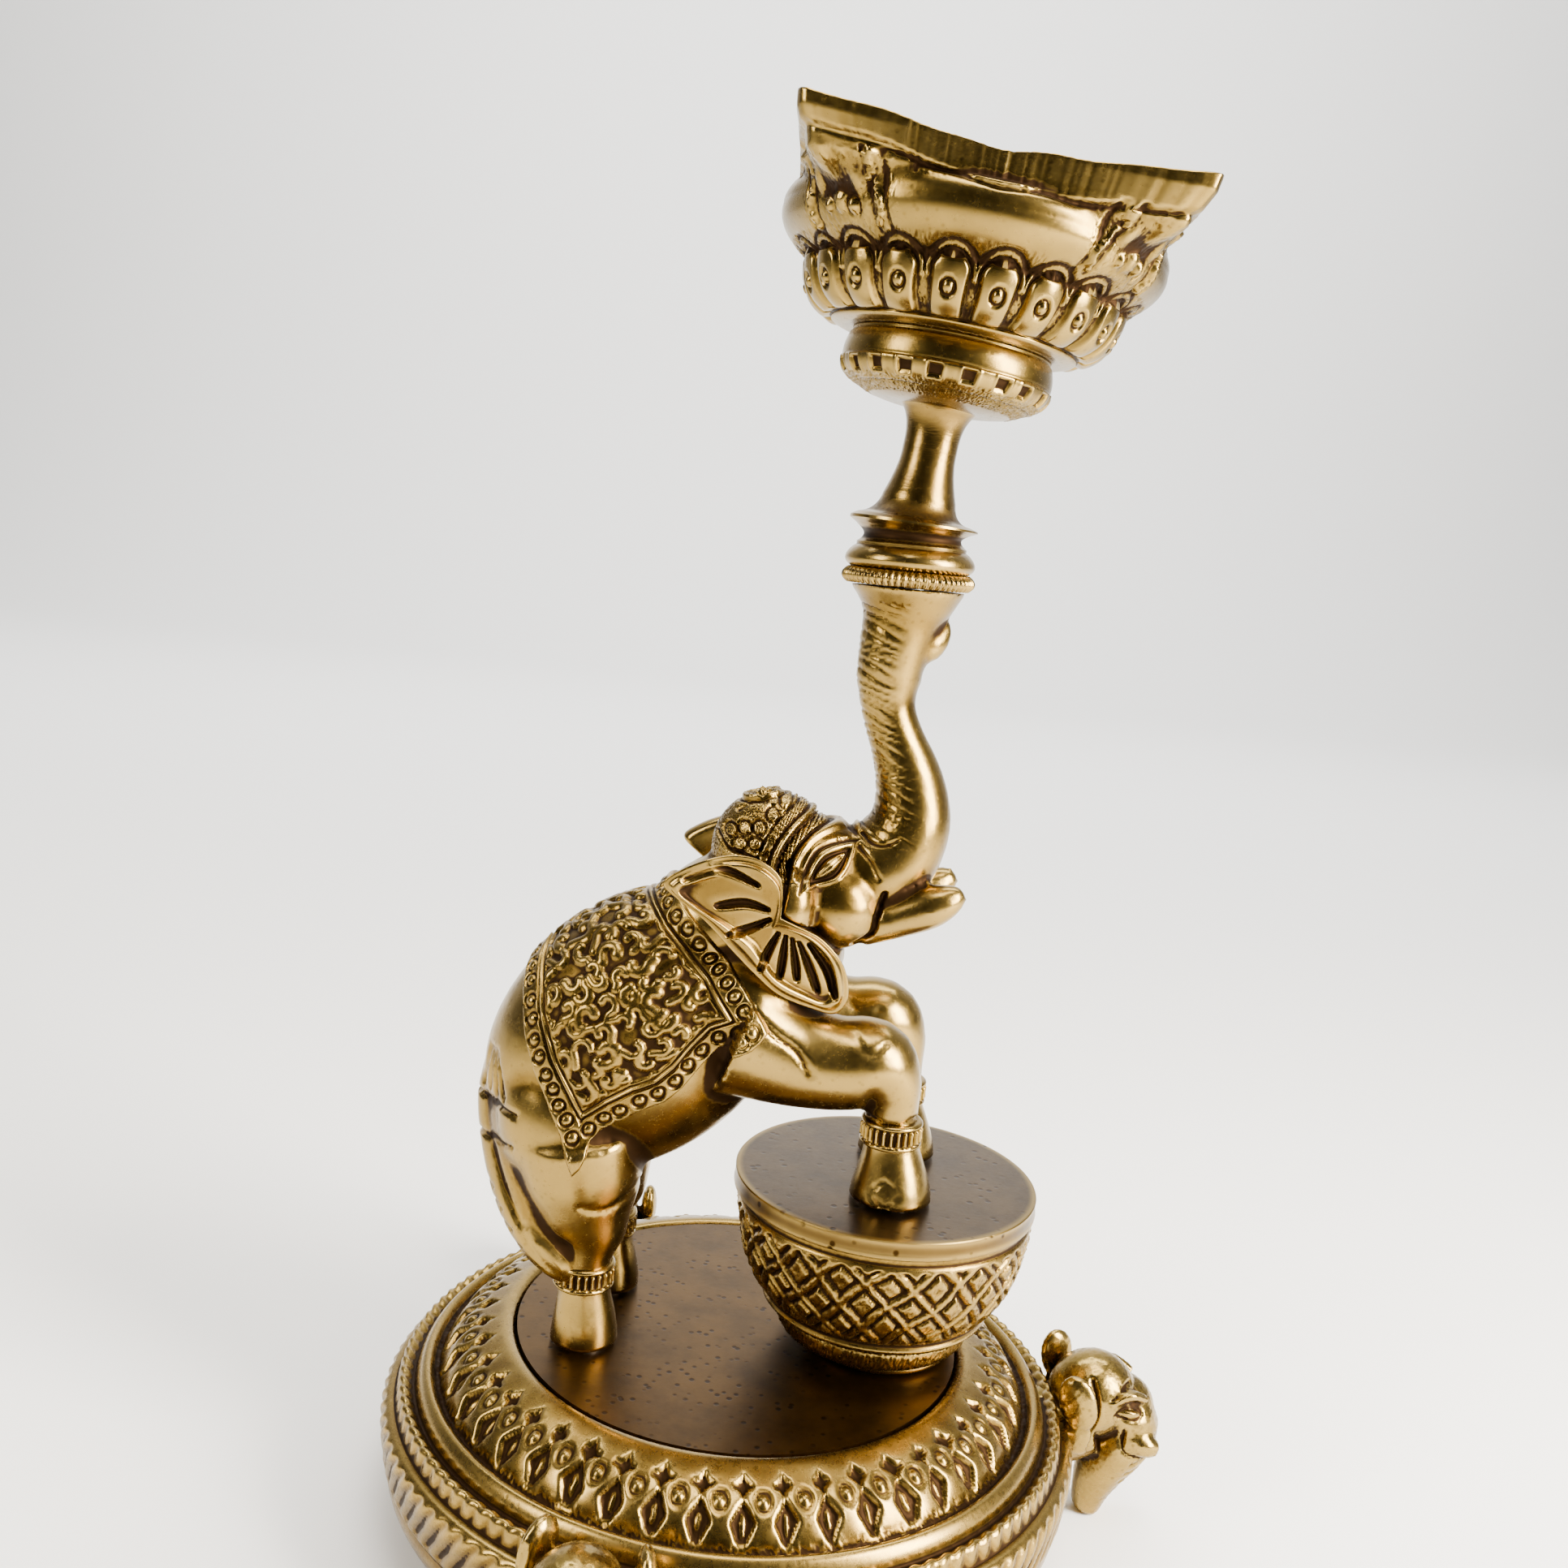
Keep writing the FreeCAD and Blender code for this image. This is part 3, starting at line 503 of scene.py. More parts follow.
def head_foot():
    """The head, built facing +X at the base's side; it is turned to its own place afterwards."""
    wax = bmesh.new()
    blob(wax, 67.8, 0, -9.2, (8.2, 7.6, 8.0), 10)
    blob(wax, 73.4, 0, -11.6, (6.4, 6.0, 6.4), 20)
    tube(wax, [(56.4, 0, -17.5, 8.0), (61.0, 0, -16.0, 7.6), (67.0, 0, -14.0, 7.0)], flat=0.95)
    tube(wax, [(72.0, 0, -10.0, 6.6), (75.0, 0, -14.0, 7.3), (73.2, 0, -18.6, 7.4), (71.2, 0, -23.6, 5.9),
               (69.9, 0, -28.4, 4.3), (69.4, 0, FOOT_DOWN + 0.9, 3.2),
               (69.3, 0, FOOT_DOWN + 0.15, 2.2)], flat=0.8)
    for s in (-1, 1):
        tube(wax, [(73.8, s * 5.0, -14.4, 2.2), (77.0, s * 6.0, -15.6, 2.3), (79.4, s * 6.1, -16.2, 1.3)])
        blob(wax, 62.8, s * 8.6, -6.6, (3.6, 1.7, 5.2), 18, s * 24)
        blob(wax, 63.4, s * 8.4, -13.0, (2.8, 1.5, 3.8), 8, s * 20)
        tube(wax, [(69.5, s * 6.6, -7.4, 0.9), (73.0, s * 6.4, -5.6, 1.1), (76.6, s * 4.9, -7.0, 0.9)])
        blob(wax, 73.2, s * 6.0, -9.2, (1.9, 1.2, 1.3), -10)
    return melt(wax, "head_foot", 0.42, 3)


# the brightest castings, since they stick out and are rubbed whenever the lamp is picked up
feet_finish = antique_brass("cast_brass_feet", gold="#92793c", tarnish="#6b582a", film=0.3, gloss=0.25,
                            pits=0.4)
for name in ("base_foot_front", "base_foot_left", "base_foot_right"):
    low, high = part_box(name)
    middle = (low + high) / 2 - DECK
    bearing = math.atan2(middle.y, middle.x)
    head = head_foot()
    bmesh.ops.rotate(head, verts=head.verts, cent=at(0), matrix=Matrix.Rotation(bearing, 3, "Z"))
    piece = finish_piece(head, name.replace("base_foot", "elephant_head_foot"), feet_finish, "lamp",
                         [name])
    mesh = piece.data
    local = (places(mesh) - np.array(at(0))) / MM
    side_way = local[:, 1] * math.cos(bearing) - local[:, 0] * math.sin(bearing)
    forward = local[:, 0] * math.cos(bearing) + local[:, 1] * math.sin(bearing)
    face = np.stack([forward, local[:, 2]], axis=1)
    lines = np.zeros(len(face))
    eye = [(70.4, -9.6), (72.4, -8.2), (74.8, -8.6), (75.8, -9.8), (73.6, -10.6), (70.4, -9.6)]
    for path, width, deep in (
            (eye, 0.9, 0.55),
            ([(69.4, -6.6), (73.0, -4.6), (77.0, -6.4)], 0.8, 0.35),          # brow
            ([(66.0, -4.0), (66.8, -9.0), (65.6, -15.0)], 1.4, 0.8),          # between the ear and the cheek
            ([(72.6, -12.6), (72.8, -16.4), (77.4, -18.2)], 0.9, 0.5)):       # mouth
        lines -= deep * paths_near(face, curve(path), width) * (np.abs(side_way) > 3.0)
    for k in range(5):
        wrinkle = [(74.6 - 0.5 * k, -19.4 - 2.2 * k), (79.5 - k, -18.0 - 2.2 * k)]
        lines -= 0.35 * paths_near(face, wrinkle, 0.8)
    raise_relief(mesh, lines + 0.03 * chance.normal(0, 1, len(face)))
    stain_hollows(mesh, 1.6, 0.26)

# ---- Elephant ----
# One brass casting from a carved wax: it rears up with its fore feet on the drum and its trunk
# raised. The creases, head cap and eyes are chased into it; legs, belly and cheeks stay smooth.
HIND_SOLE = (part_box("hind_foot_spacers")[1].z - DECK.z) / MM
FORE_SOLE = (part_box("fore_foot_spacers")[1].z - DECK.z) / MM
TRUNK_TOP = (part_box("knurled_ring")[0].z - DECK.z) / MM - 0.25
LEG = 10.4                 # half the distance between left and right legs
FAR_HIND, FAR_FORE = 1.5, 2.2
FORE_TOP = [(-4, 9.0, 59, 11.5), (5, 9.8, 56.2, 9.2), (13, 10.3, 55.4, 8.1), (18.8, LEG, 56.0, 7.7),
            (21.8, LEG, 52.6, 6.0), (22.8, LEG, 48.4, 4.7)]
FORE_LOW = [(23.2, LEG, 44, 4.5), (23.5, LEG, 41.2, 4.9), (23.9, LEG, 37.6, 6.0), (24.1, LEG, 34.6, 6.9),
            (24.2, LEG, FORE_SOLE, 7.2), (24.2, LEG, FORE_SOLE - 1.5, 7.2)]
HIND_LEG = [(-31.0, 7.5, 37, 12.2), (-29.6, 8.2, 29, 10.6), (-28.6, 9.0, 24, 8.8), (-27.6, 9.8, 20, 6.7),
            (-27.7, LEG, 16.8, 4.9), (-27.7, LEG, 12.5, 4.5), (-27.5, LEG, 9.2, 4.7), (-27.2, LEG, 5.5, 5.4),
            (-27.0, LEG, 2.2, 5.9), (-27.0, LEG, HIND_SOLE, 6.0), (-27.0, LEG, HIND_SOLE - 1.5, 6.0)]
TRUNK = [(11.0, 0, 84.6, 9.0), (17.6, 0, 88.6, 9.0), (21.2, 0, 95.0, 7.7), (21.3, 0, 100.4, 6.8),
         (19.9, 0, 105.6, 5.9), (17.5, 0, 111.0, 5.0), (15.6, 0, 116.0, 4.9), (15.1, 0, 121.0, 5.7),
         (15.5, 0, 126.5, 6.4), (16.2, 0, 131.0, 7.0), (16.6, 0, 134.2, 8.7), (16.7, 0, TRUNK_TOP, 10.2),
         (16.7, 0, TRUNK_TOP + 1, 10.2)]
TAIL = [(-44.6, 0, 47, 4.8), (-46.0, -0.8, 41, 4.4), (-45.2, -2.4, 35.5, 4.3), (-42.9, -5.6, 29.6, 4.4),
        (-39.4, -9.4, 23.8, 4.4), (-35.2, -12.2, 18.6, 3.9), (-31.6, -13.4, 14.8, 2.7),
        (-29.8, -13.6, 12.9, 1.3)]
wax = bmesh.new()
blob(wax, -22.6, 0, 54.6, (30.4, 18.8, 22.2), 43)                 # barrel
blob(wax, -2.4, 0, 72.4, (14.8, 13.6, 15.0), 20)                  # neck and chest
blob(wax, -10.0, 0, 76.5, (14.5, 13.0, 10.8), 38)                 # nape
blob(wax, -2.0, 0, 89.6, (10.6, 9.8, 10.5), 10)                   # crown
blob(wax, 6.2, 0, 85.0, (11.0, 11.0, 11.2), 20)                   # face
blob(wax, 15.6, 0, 79.0, (6.2, 4.4, 3.4), 30)                     # lower lip
tube(wax, TRUNK, sides=36, flat=0.96)
tube(wax, [(20.6, 0, 127.2, 3.4), (22.4, 0, 128.6, 2.7), (23.7, 0, 130.2, 1.6), (24.0, 0, 131.4, 0.8)])
tube(wax, TAIL, sides=24)
tube(wax, [(-41.5, -4.0, 40, 6.0), (-39.0, -7.0, 32, 6.2), (-35.8, -9.6, 25, 5.6), (-32.4, -11.0, 19, 4.2)])
for s in (-1, 1):
    blob(wax, -32.6, s * 6.6, 39.0, (12.8, 11.6, 15.6), 15)       # haunch
    blob(wax, -4.6, s * 7.4, 63.0, (12.6, 9.6, 12.0), 30)         # shoulder
    blob(wax, 9.8, s * 5.4, 81.9, (7.9, 7.2, 7.7))                # cheek
    blob(wax, 0.6, s * 11.6, 80.4, (5.2, 4.6, 8.2), -20)          # root of the ear
    blob(wax, 4.2, s * 15.6, 60.6, (3.4, 2.2, 2.6), -30)          # knot of the blanket's girth
    tube(wax, [(14.5, s * 5.8, 78.4, 3.3), (20.6, s * 6.6, 80.9, 3.5), (25.8, s * 7.0, 83.3, 3.7),
               (29.2, s * 7.2, 85.2, 2.8), (31.2, s * 7.2, 86.6, 1.3)])
    far = s > 0
    tube(wax, [(x + far * FAR_HIND * step_up((40 - z) / 20), s * y, z, r) for x, y, z, r in HIND_LEG])
    upper = [(x + far * FAR_FORE * step_up((x + 4) / 20), s * y, z + far * 1.2, r) for x, y, z, r in FORE_TOP]
    tube(wax, upper + [(x + far * FAR_FORE, s * y, z, r) for x, y, z, r in FORE_LOW])
body = melt(wax, "elephant_wax", 0.74, 3)


def finer(shape, wanted):
    """Splits every face whose middle, in mm, is where finer chasing is wanted."""
    faces = [f for f in shape.faces if wanted((f.calc_center_median() - DECK) / MM)]
    bmesh.ops.subdivide_edges(shape, edges=list({e for f in faces for e in f.edges}), cuts=1,
                              use_grid_fill=True, smooth=0.0)


finer(body, lambda p: p.z > 68 and p.x > -13)
finer(body, lambda p: 82 < p.z < 102 and -12.5 < p.x < 14)
for _ in range(2):
    bmesh.ops.smooth_vert(body, verts=body.verts, factor=0.5, use_axis_x=True, use_axis_y=True,
                          use_axis_z=True)
# the soles and the top of the trunk are ground flat, to sit on the spacers and carry the ring
for vert in body.verts:
    p = (vert.co - DECK) / MM
    for sole, near_x in ((HIND_SOLE, -26.5), (FORE_SOLE, 25.2)):
        if abs(p.x - near_x) < 9 and sole - 3 < p.z < sole + 0.25:
            vert.co.z = DECK.z + sole * MM
    if p.z > TRUNK_TOP - 0.2:
        vert.co.z = DECK.z + TRUNK_TOP * MM
# polished by hand: glossier than the base, brown in the creases, with painted shade where its parts crowd one
# another
elephant_finish = antique_brass("antique_elephant_brass", film=0.45, pits=0.2, gloss=0.24)
elephant_body = finish_piece(body, "elephant_casting", elephant_finish, "lamp",
                             ["elephant"])
mesh = elephant_body.data
body_tree = BVHTree.FromPolygons([v.co.copy() for v in mesh.vertices],
                                 [tuple(p.vertices) for p in mesh.polygons])
local = (places(mesh) - np.array(DECK)) / MM
side_view, flank = local[:, [0, 2]], np.abs(local[:, 1])

# the eye: an almond bead between two lids, with a brow over it
EYE, EYE_TILT = np.array([8.1, 89.4]), math.radians(42)
on_eye = (side_view - EYE) @ np.array([[math.cos(EYE_TILT), -math.sin(EYE_TILT)],
                                       [math.sin(EYE_TILT), math.cos(EYE_TILT)]])
almond = np.abs(on_eye[:, 0] / 3.3) ** 1.7 + np.abs(on_eye[:, 1] / 1.15)
beside = (flank > 5.0)
height = beside * (0.9 * bump(almond) - 0.45 * bump((almond - 1.3) / 0.4) + 0.4 * bump((almond - 2.0) / 0.5))
height -= beside * 0.4 * bump((almond - 2.9) / 0.5) * (on_eye[:, 1] > 0)
height -= beside * 0.45 * bump(on_eye[:, 1] / 0.25) * (almond < 0.7)
# the head cap: bands of teeth and rungs on arcs about one point of the temple, and punched rings above
CAP = np.array([10.5, 87.0])
d = side_view - CAP
ring_r, ring_a = np.hypot(d[:, 0], d[:, 1]), np.degrees(np.arctan2(d[:, 1], d[:, 0]))
on_cap = (ring_a > 60) & (ring_a < 192) & (local[:, 0] < 12.8) & (side_view[:, 1] > 84) & (ring_r < 26)
run = np.radians(ring_a) * ring_r
arcs = 0.62 * bump((ring_r - 8.5) / 0.75) + 0.35 * bump((ring_r - 12.2) / 0.55)
for r in (9.4, 11.35, 13.0, 14.9):
    arcs -= 0.6 * bump((ring_r - r) / 0.42)
tooth = np.abs(run / 1.55 - np.round(run / 1.55)) * 2
arcs -= 0.6 * (tooth < (ring_r - 9.6) / 1.6) * (ring_r > 9.6) * (ring_r < 11.2)
rung = np.abs(run / 1.15 - np.round(run / 1.15))
arcs -= 0.6 * bump(rung / 0.24) * (ring_r > 13.2) * (ring_r < 14.7)
crown_lines = np.zeros(len(local))
crown_rings = [(-0.3, 99.2), (-2.4, 96.9), (-4.5, 94.6), (-7.0, 94.2), (-4.9, 91.8), (-7.6, 91.4),
               (-9.4, 93.4)]
for x, z in crown_rings:
    off = np.hypot(side_view[:, 0] - x, side_view[:, 1] - z)
    crown_lines -= 0.5 * bump((off - 1.2) / 0.4)
for path, width, deep in (([(-11.6, 92.4), (-9.6, 90.4), (-6.8, 89.9), (-3.6, 89.0)], 1.1, 0.8),
                          ([(-3.6, 98.6), (-6.2, 98.2), (-8.4, 96.6)], 0.9, 0.5),
                          ([(-6.0, 100.0), (-4.6, 99.2), (-3.2, 100.4)], 0.7, 0.4)):
    crown_lines -= deep * paths_near(side_view, curve(path), width)
over_top = np.hypot(local[:, 0] + 4.4, local[:, 1])
crown_lines += (local[:, 2] > 97) * (
    0.5 * bump((over_top - 3.2) / 0.5) - 0.5 * bump((over_top - 4.0) / 0.5)
    + 0.5 * bump((over_top - 1.0) / 0.5) - 0.4 * bump((over_top - 1.9) / 0.5))
height += on_cap * (arcs + crown_lines * (ring_r > 14.6))
ragged = chance.normal(0, 1, len(local))
height += on_cap * (ring_r > 9.4) * 0.05 * ragged
# creases chased into both flanks
for path, width, deep in (
        ([(1.2, 89.0), (0.6, 85.0), (0.4, 81.5), (2.6, 79.9), (6.8, 77.6), (11.0, 73.8)], 1.8, 1.1),   # jaw
        ([(17.9, 85.2), (16.9, 81.4), (16.2, 78.2), (13.4, 76.0)], 1.3, 1.0),     # root of the tusk
        ([(12.0, 95.6), (14.6, 93.6), (17.0, 93.4), (19.2, 94.6)], 0.9, 0.45),    # root of the trunk
        ([(12.8, 92.6), (15.0, 90.4), (16.6, 87.8)], 1.0, 0.35),
        ([(-3.0, 66.0), (1.6, 61.9), (5.6, 59.2), (7.8, 55.6)], 1.4, 0.7),        # behind the shoulder
        ([(14.8, 62.2), (17.6, 59.6), (20.2, 61.2)], 1.2, 0.3),                   # fore knee
        ([(18.4, 47.3), (23.0, 46.7), (27.6, 47.6)], 0.9, 0.7),                   # above the fore anklet
        ([(-19.6, 30.0), (-24.0, 27.4), (-28.4, 28.0)], 1.6, 0.35)):              # hind knee
    height -= deep * paths_near(side_view, curve(path), width) * (flank > 3.5)
# file strokes across the back of the trunk
trunk_part = (local[:, 2] > 93) & (local[:, 2] < 134) & (local[:, 0] > 9)
slant = local[:, 2] + 0.35 * local[:, 0] + 0.4 * np.sin(local[:, 2] * 0.9)
stroke = np.sin(slant * 6.2) * np.sin(slant * 2.3 + 1.0)
middle = np.interp(local[:, 2], [t[2] for t in TRUNK[2:-1]], [t[0] for t in TRUNK[2:-1]])
height -= trunk_part * 0.16 * step_up((stroke - 0.1) / 0.5) * step_up((middle + 1.5 - local[:, 0]) / 2.5)
# the tail: pleats at its root, a band between two cuts, then a strap with a sunk middle and notches
tail_part = (local[:, 0] < -28) & (local[:, 2] < 54) & (local[:, 2] > 11)
for cut in ([(-50, 41.4), (-41, 42.2)], [(-50, 34.4), (-41.5, 36.0)]):
    height -= 0.8 * tail_part * paths_near(side_view, cut, 1.1)
for k in range(4):
    height -= tail_part * 0.5 * paths_near(side_view, [(-48.8 + 1.7 * k, 43.2), (-47.6 + 0.5 * k, 51.0)], 0.9)
height -= tail_part * 0.45 * paths_near(side_view, curve([(-45.4, 33.6), (-42.4, 27.6), (-38.6, 21.8)]), 1.5)
height -= tail_part * 0.45 * paths_near(side_view, curve([(-38.0, 20.6), (-34.6, 16.6), (-31.6, 14.2)]), 1.4)
for k in range(5):
    notch = [(-47.0 + 2.2 * k, 27.5 - 3.0 * k), (-45.0 + 2.2 * k, 26.6 - 3.0 * k)]
    height -= tail_part * 0.5 * paths_near(side_view, notch, 0.8)
# a toe cut as an arc on the fore foot
height -= bump((np.hypot(side_view[:, 0] - 22.6, side_view[:, 1] - 34.8) - 2.1) / 0.4) * 0.35 * (flank > 13)
raise_relief(mesh, height)
stain_hollows(mesh, 2.2, 0.3)

# ---- Ears ----
# Two fan-shaped flaps cast with the elephant. A polished rim runs round the back of each, and a
# fan of tapering grooves is cut from the rim towards the root.
EAR_ROOT = (-0.6, 79.9)
EAR_EDGE = [
    (0.6, 81.6), (0.2, 87.6), (-2.4, 90.4), (-6.4, 91.6), (-11.6, 90.9), (-16.4, 88.6), (-18.9, 86.2),
    (-16.2, 83.6), (-11.8, 80.5), (-7.3, 76.1), (-2.8, 71.7), (1.6, 68.0), (7.2, 65.7), (11.4, 64.8),
    (13.2, 67.8), (12.0, 73.4), (8.0, 78.0), (3.0, 80.5)]
EAR_GROOVES = [                            # each a path from the rim to the root, and its width
    ([(-15.4, 87.2), (-9.8, 89.2), (-3.6, 87.0)], 2.0),
    ([(-9.8, 83.0), (-5.4, 83.8), (-1.6, 82.9)], 2.0),
    ([(-7.6, 78.4), (-4.2, 79.6), (-1.2, 81.2)], 2.0),
    ([(-1.9, 72.6), (-0.9, 75.8), (0.4, 78.9)], 1.9),
    ([(1.4, 71.4), (1.6, 75.2), (1.7, 78.4)], 1.8),
    ([(4.3, 70.9), (3.6, 74.6), (2.8, 78.0)], 1.8),
    ([(7.9, 68.9), (6.0, 73.4), (4.0, 77.4)], 1.9),
    ([(11.0, 68.0), (9.2, 72.6), (5.8, 77.2)], 1.9)]


def ear_flap(side):
    """A disc of rings drawn out to the ear's edge, leaning back, then turned over to its back."""
    shape = bmesh.new()
    turns, rows = 420, 74
    bmesh.ops.create_grid(shape, x_segments=turns, y_segments=rows, size=0.5)
    edge = np.array(eased(EAR_EDGE + EAR_EDGE[:1], 8))[:-1]
    way = np.arctan2(edge[:, 1] - EAR_ROOT[1], edge[:, 0] - EAR_ROOT[0])
    far = np.hypot(edge[:, 1] - EAR_ROOT[1], edge[:, 0] - EAR_ROOT[0])
    order = np.argsort(way)
    grid = np.array([v.co for v in shape.verts]) + 0.5
    a = (grid[:, 0] - 0.5) * math.tau
    reach = np.interp(a, way[order], far[order], period=math.tau)
    t = 1.22 * grid[:, 1]                                # past 1 the flap turns over its edge to its back
    front = np.clip(t, 0, 1)
    x = EAR_ROOT[0] + reach * front * np.cos(a)
    z = EAR_ROOT[1] + reach * front * np.sin(a)
    from_edge = reach * (1 - front)
    lean_back = 0.83 * x - 0.55 * (z - 80)
    out = 16.9 - 0.21 * lean_back + 0.9 * np.cos(lean_back * 0.12)
    rim = step_up((-0.45 * x - 0.9 * (z - 81) + 4) / 5) + step_up((-x - 8) / 5)
    rim = np.clip(rim, 0, 1)
    out += 1.1 * rim * step_up((4.0 - from_edge) / 1.6) - 0.8 * (1 - step_up((from_edge - 1) / 1.0)) ** 2
    grooves = np.zeros(len(x))
    for path, width in EAR_GROOVES:
        fine = curve(path)
        for k in range(len(fine) - 1):
            wide = width * (0.45 + 0.55 * math.sin(math.pi * min(1.0, (k + 1.0) / len(fine)) ** 0.7))
            grooves = np.maximum(grooves, paths_near(np.stack([x, z], axis=1), fine[k:k + 2], wide))
    out -= 1.15 * grooves
    back = np.clip(t - 1, 0, 1) / 0.22
    out = np.where(t > 1, out - 2.6 * np.sin(back * math.pi / 2), out)
    x = np.where(t > 1, x - 2.2 * back ** 2 * np.cos(a), x)
    z = np.where(t > 1, z - 2.2 * back ** 2 * np.sin(a), z)
    for vert, px, py, pz in zip(shape.verts, x, out, z):
        vert.co = at(px, side * py, pz)
    bmesh.ops.remove_doubles(shape, verts=shape.verts, dist=0.004 * MM)
    hole = [e for e in shape.edges if e.is_boundary]
    bmesh.ops.holes_fill(shape, edges=hole, sides=0)
    bmesh.ops.recalc_face_normals(shape, faces=shape.faces)
    return shape


def paint_occlusion_shade(mesh, tree, reach_mm=7.0, strength=0.9):
    """Paints shade as dark patina colour where neighbouring parts crowd a vertex: rays that soon strike the
    casting are counted, and the count is added to the hollow attribute.
    """
    co, n = places(mesh), outward(mesh)
    ways = np.array([(0, 0, 1), (0.75, 0, 0.66), (-0.38, 0.65, 0.66), (-0.38, -0.65, 0.66)])
    occlusion_shade = np.zeros(len(co))
    for k, (p, up) in enumerate(zip(co, n)):
        up = Vector(up)
        sideways = up.orthogonal().normalized()
        third = up.cross(sideways)
        start = Vector(p) + up * (0.5 * MM)
        for a, b, c in ways:
            hit = tree.ray_cast(start, sideways * a + third * b + up * c, reach_mm * MM)
            if hit[0] is not None:
                occlusion_shade[k] += (1 - hit[3] / (reach_mm * MM)) / len(ways)
    # the painted shade goes into the same attribute as the patina, so the material darkens it the same way
    layer = mesh.attributes["hollow"]
    old = np.zeros(len(co))
    layer.data.foreach_get("value", old)
    layer.data.foreach_set("value", np.clip(old + strength * occlusion_shade * 1.6, -1, 1))


ears = []
for side, name in ((-1, "elephant_near_ear"), (1, "elephant_far_ear")):
    flap = finish_piece(ear_flap(side), name, elephant_finish, "lamp")
    stain_hollows(flap.data, 2.2, 0.4)
    ears.append(flap.data)
# painted shade: where the ears, legs and belly crowd one another the patina colour is laid on as well,
# standing in for the shade they cast
crowd_places, crowd_faces = [], []
for part in [elephant_body.data] + ears:
    crowd_faces += [tuple(i + len(crowd_places) for i in p.vertices) for p in part.polygons]
    crowd_places += [v.co.copy() for v in part.vertices]
crowd = BVHTree.FromPolygons(crowd_places, crowd_faces)
paint_occlusion_shade(elephant_body.data, crowd, reach_mm=5.0, strength=0.4)


def thin(piece, most=190000):
    """Merges the flattest faces of a piece that has more triangles than it needs."""
    triangles = sum(face.loop_total - 2 for face in piece.data.polygons)
    merge = piece.modifiers.new("thin", "DECIMATE")
    merge.ratio = min(1.0, most / triangles)


thin(elephant_body)

# ---- Anklets ----
# A band cast round every ankle of the elephant, in the same brass: two beads with a row of upright
# ribs between them.
ANKLET_R, ANKLET_TALL, ANKLET_RIBS = 4.9, 4.7, 25
for name, x, y, low in (("near_hind", -27.75, -LEG, 10.6), ("far_hind", -27.75 + FAR_HIND, LEG, 10.6),
                        ("near_fore", 23.2, -LEG, 42.0), ("far_fore", 23.2 + FAR_FORE, LEG, 42.0)):
    r, tall = ANKLET_R, ANKLET_TALL
    band = turned(profile([
        (r - 1.2, low), (r - 0.1, low), ("arc", r + 0.45, low + 0.5), (r + 0.1, low + 1.0),
        (r, low + tall / 2), (r + 0.1, low + tall - 1.0), ("arc", r + 0.45, low + tall - 0.5),
        (r - 0.1, low + tall),
        (r - 1.2, low + tall)], 0.22), x, y, 0, 260)
    anklet = finish_piece(band, "anklet_" + name, elephant_finish, "lamp")
    mesh = anklet.data
    angle, radius = around(mesh, x, y)
    high = (places(mesh)[:, 2] - DECK.z) / MM - low
    _, rib = cell(angle + 0.01 * np.sin(angle * 5), ANKLET_RIBS)
    between_beads = step_up((high - 0.9) / 0.4) * step_up((tall - 0.9 - high) / 0.4)
    height = (0.75 * bump(rib / 0.36) - 0.25) * between_beads
    raise_relief(mesh, height * (radius > r - 0.6))
    stain_hollows(mesh, 1.1, 0.22)

# ---- Blanket ----
# The embroidered cloth on the elephant's back, cast with it: a border of ring punches between cut
# lines, and a field of crowded curls whose hollows hold the patina.
BLANKET_AXIS = (-21.8, 54.0)
PITCH = math.radians(38)
BODY_R = 20.0                              # the body's radius, by which degrees round it become mm
BORDER = 4.6
CURL = 3.7                                 # spacing of the curls
cloth = bmesh.new()
bmesh.ops.create_grid(cloth, x_segments=500, y_segments=176, size=0.5)
grid = np.array([v.co for v in cloth.verts]) + 0.5
over, along = (grid[:, 0] - 0.5) * 2, grid[:, 1]
# how far round each flank the hem hangs, in degrees, from the rear of the blanket to its front
HEM_WAY = [0, 0.05, 0.13, 0.25, 0.38, 0.48, 0.57, 0.68, 0.78, 0.9, 1.0]
HEM_DEG = [120, 119, 114, 113, 114, 117, 116, 112, 110, 113, 112]


def blanket_ends(degrees):
    """Where the blanket's rear and front edges lie along the body, this far round from the spine."""
    rear = np.interp(degrees, [0, 30, 45, 65, 85, 101, 120], [-8.8, -12.0, -14.0, -15.6, -16.4, -17.2, -19.4])
    front = np.interp(degrees, [0, 35, 50, 70, 105, 120], [20.6, 21.6, 22.4, 23.2, 23.2, 22.6])
    return rear, front


low_edge = np.interp(along, HEM_WAY, HEM_DEG)
phi = np.radians(np.abs(over) * low_edge)
s_low, s_high = blanket_ends(np.degrees(phi))
s = s_low + (s_high - s_low) * along
side = np.sign(over)
length_way = Vector((math.cos(PITCH), 0, math.sin(PITCH)))
rise_way = Vector((-math.sin(PITCH), 0, math.cos(PITCH)))
to_edge = np.minimum(np.minimum(s - s_low, s_high - s), (np.radians(low_edge) - phi) * BODY_R)
lift = 0.85 * step_up(to_edge / 0.9) - 0.5 * (1 - step_up(to_edge / 0.6))
drawn = np.stack([s, phi * BODY_R * np.where(side == 0, 1, side)], axis=1)
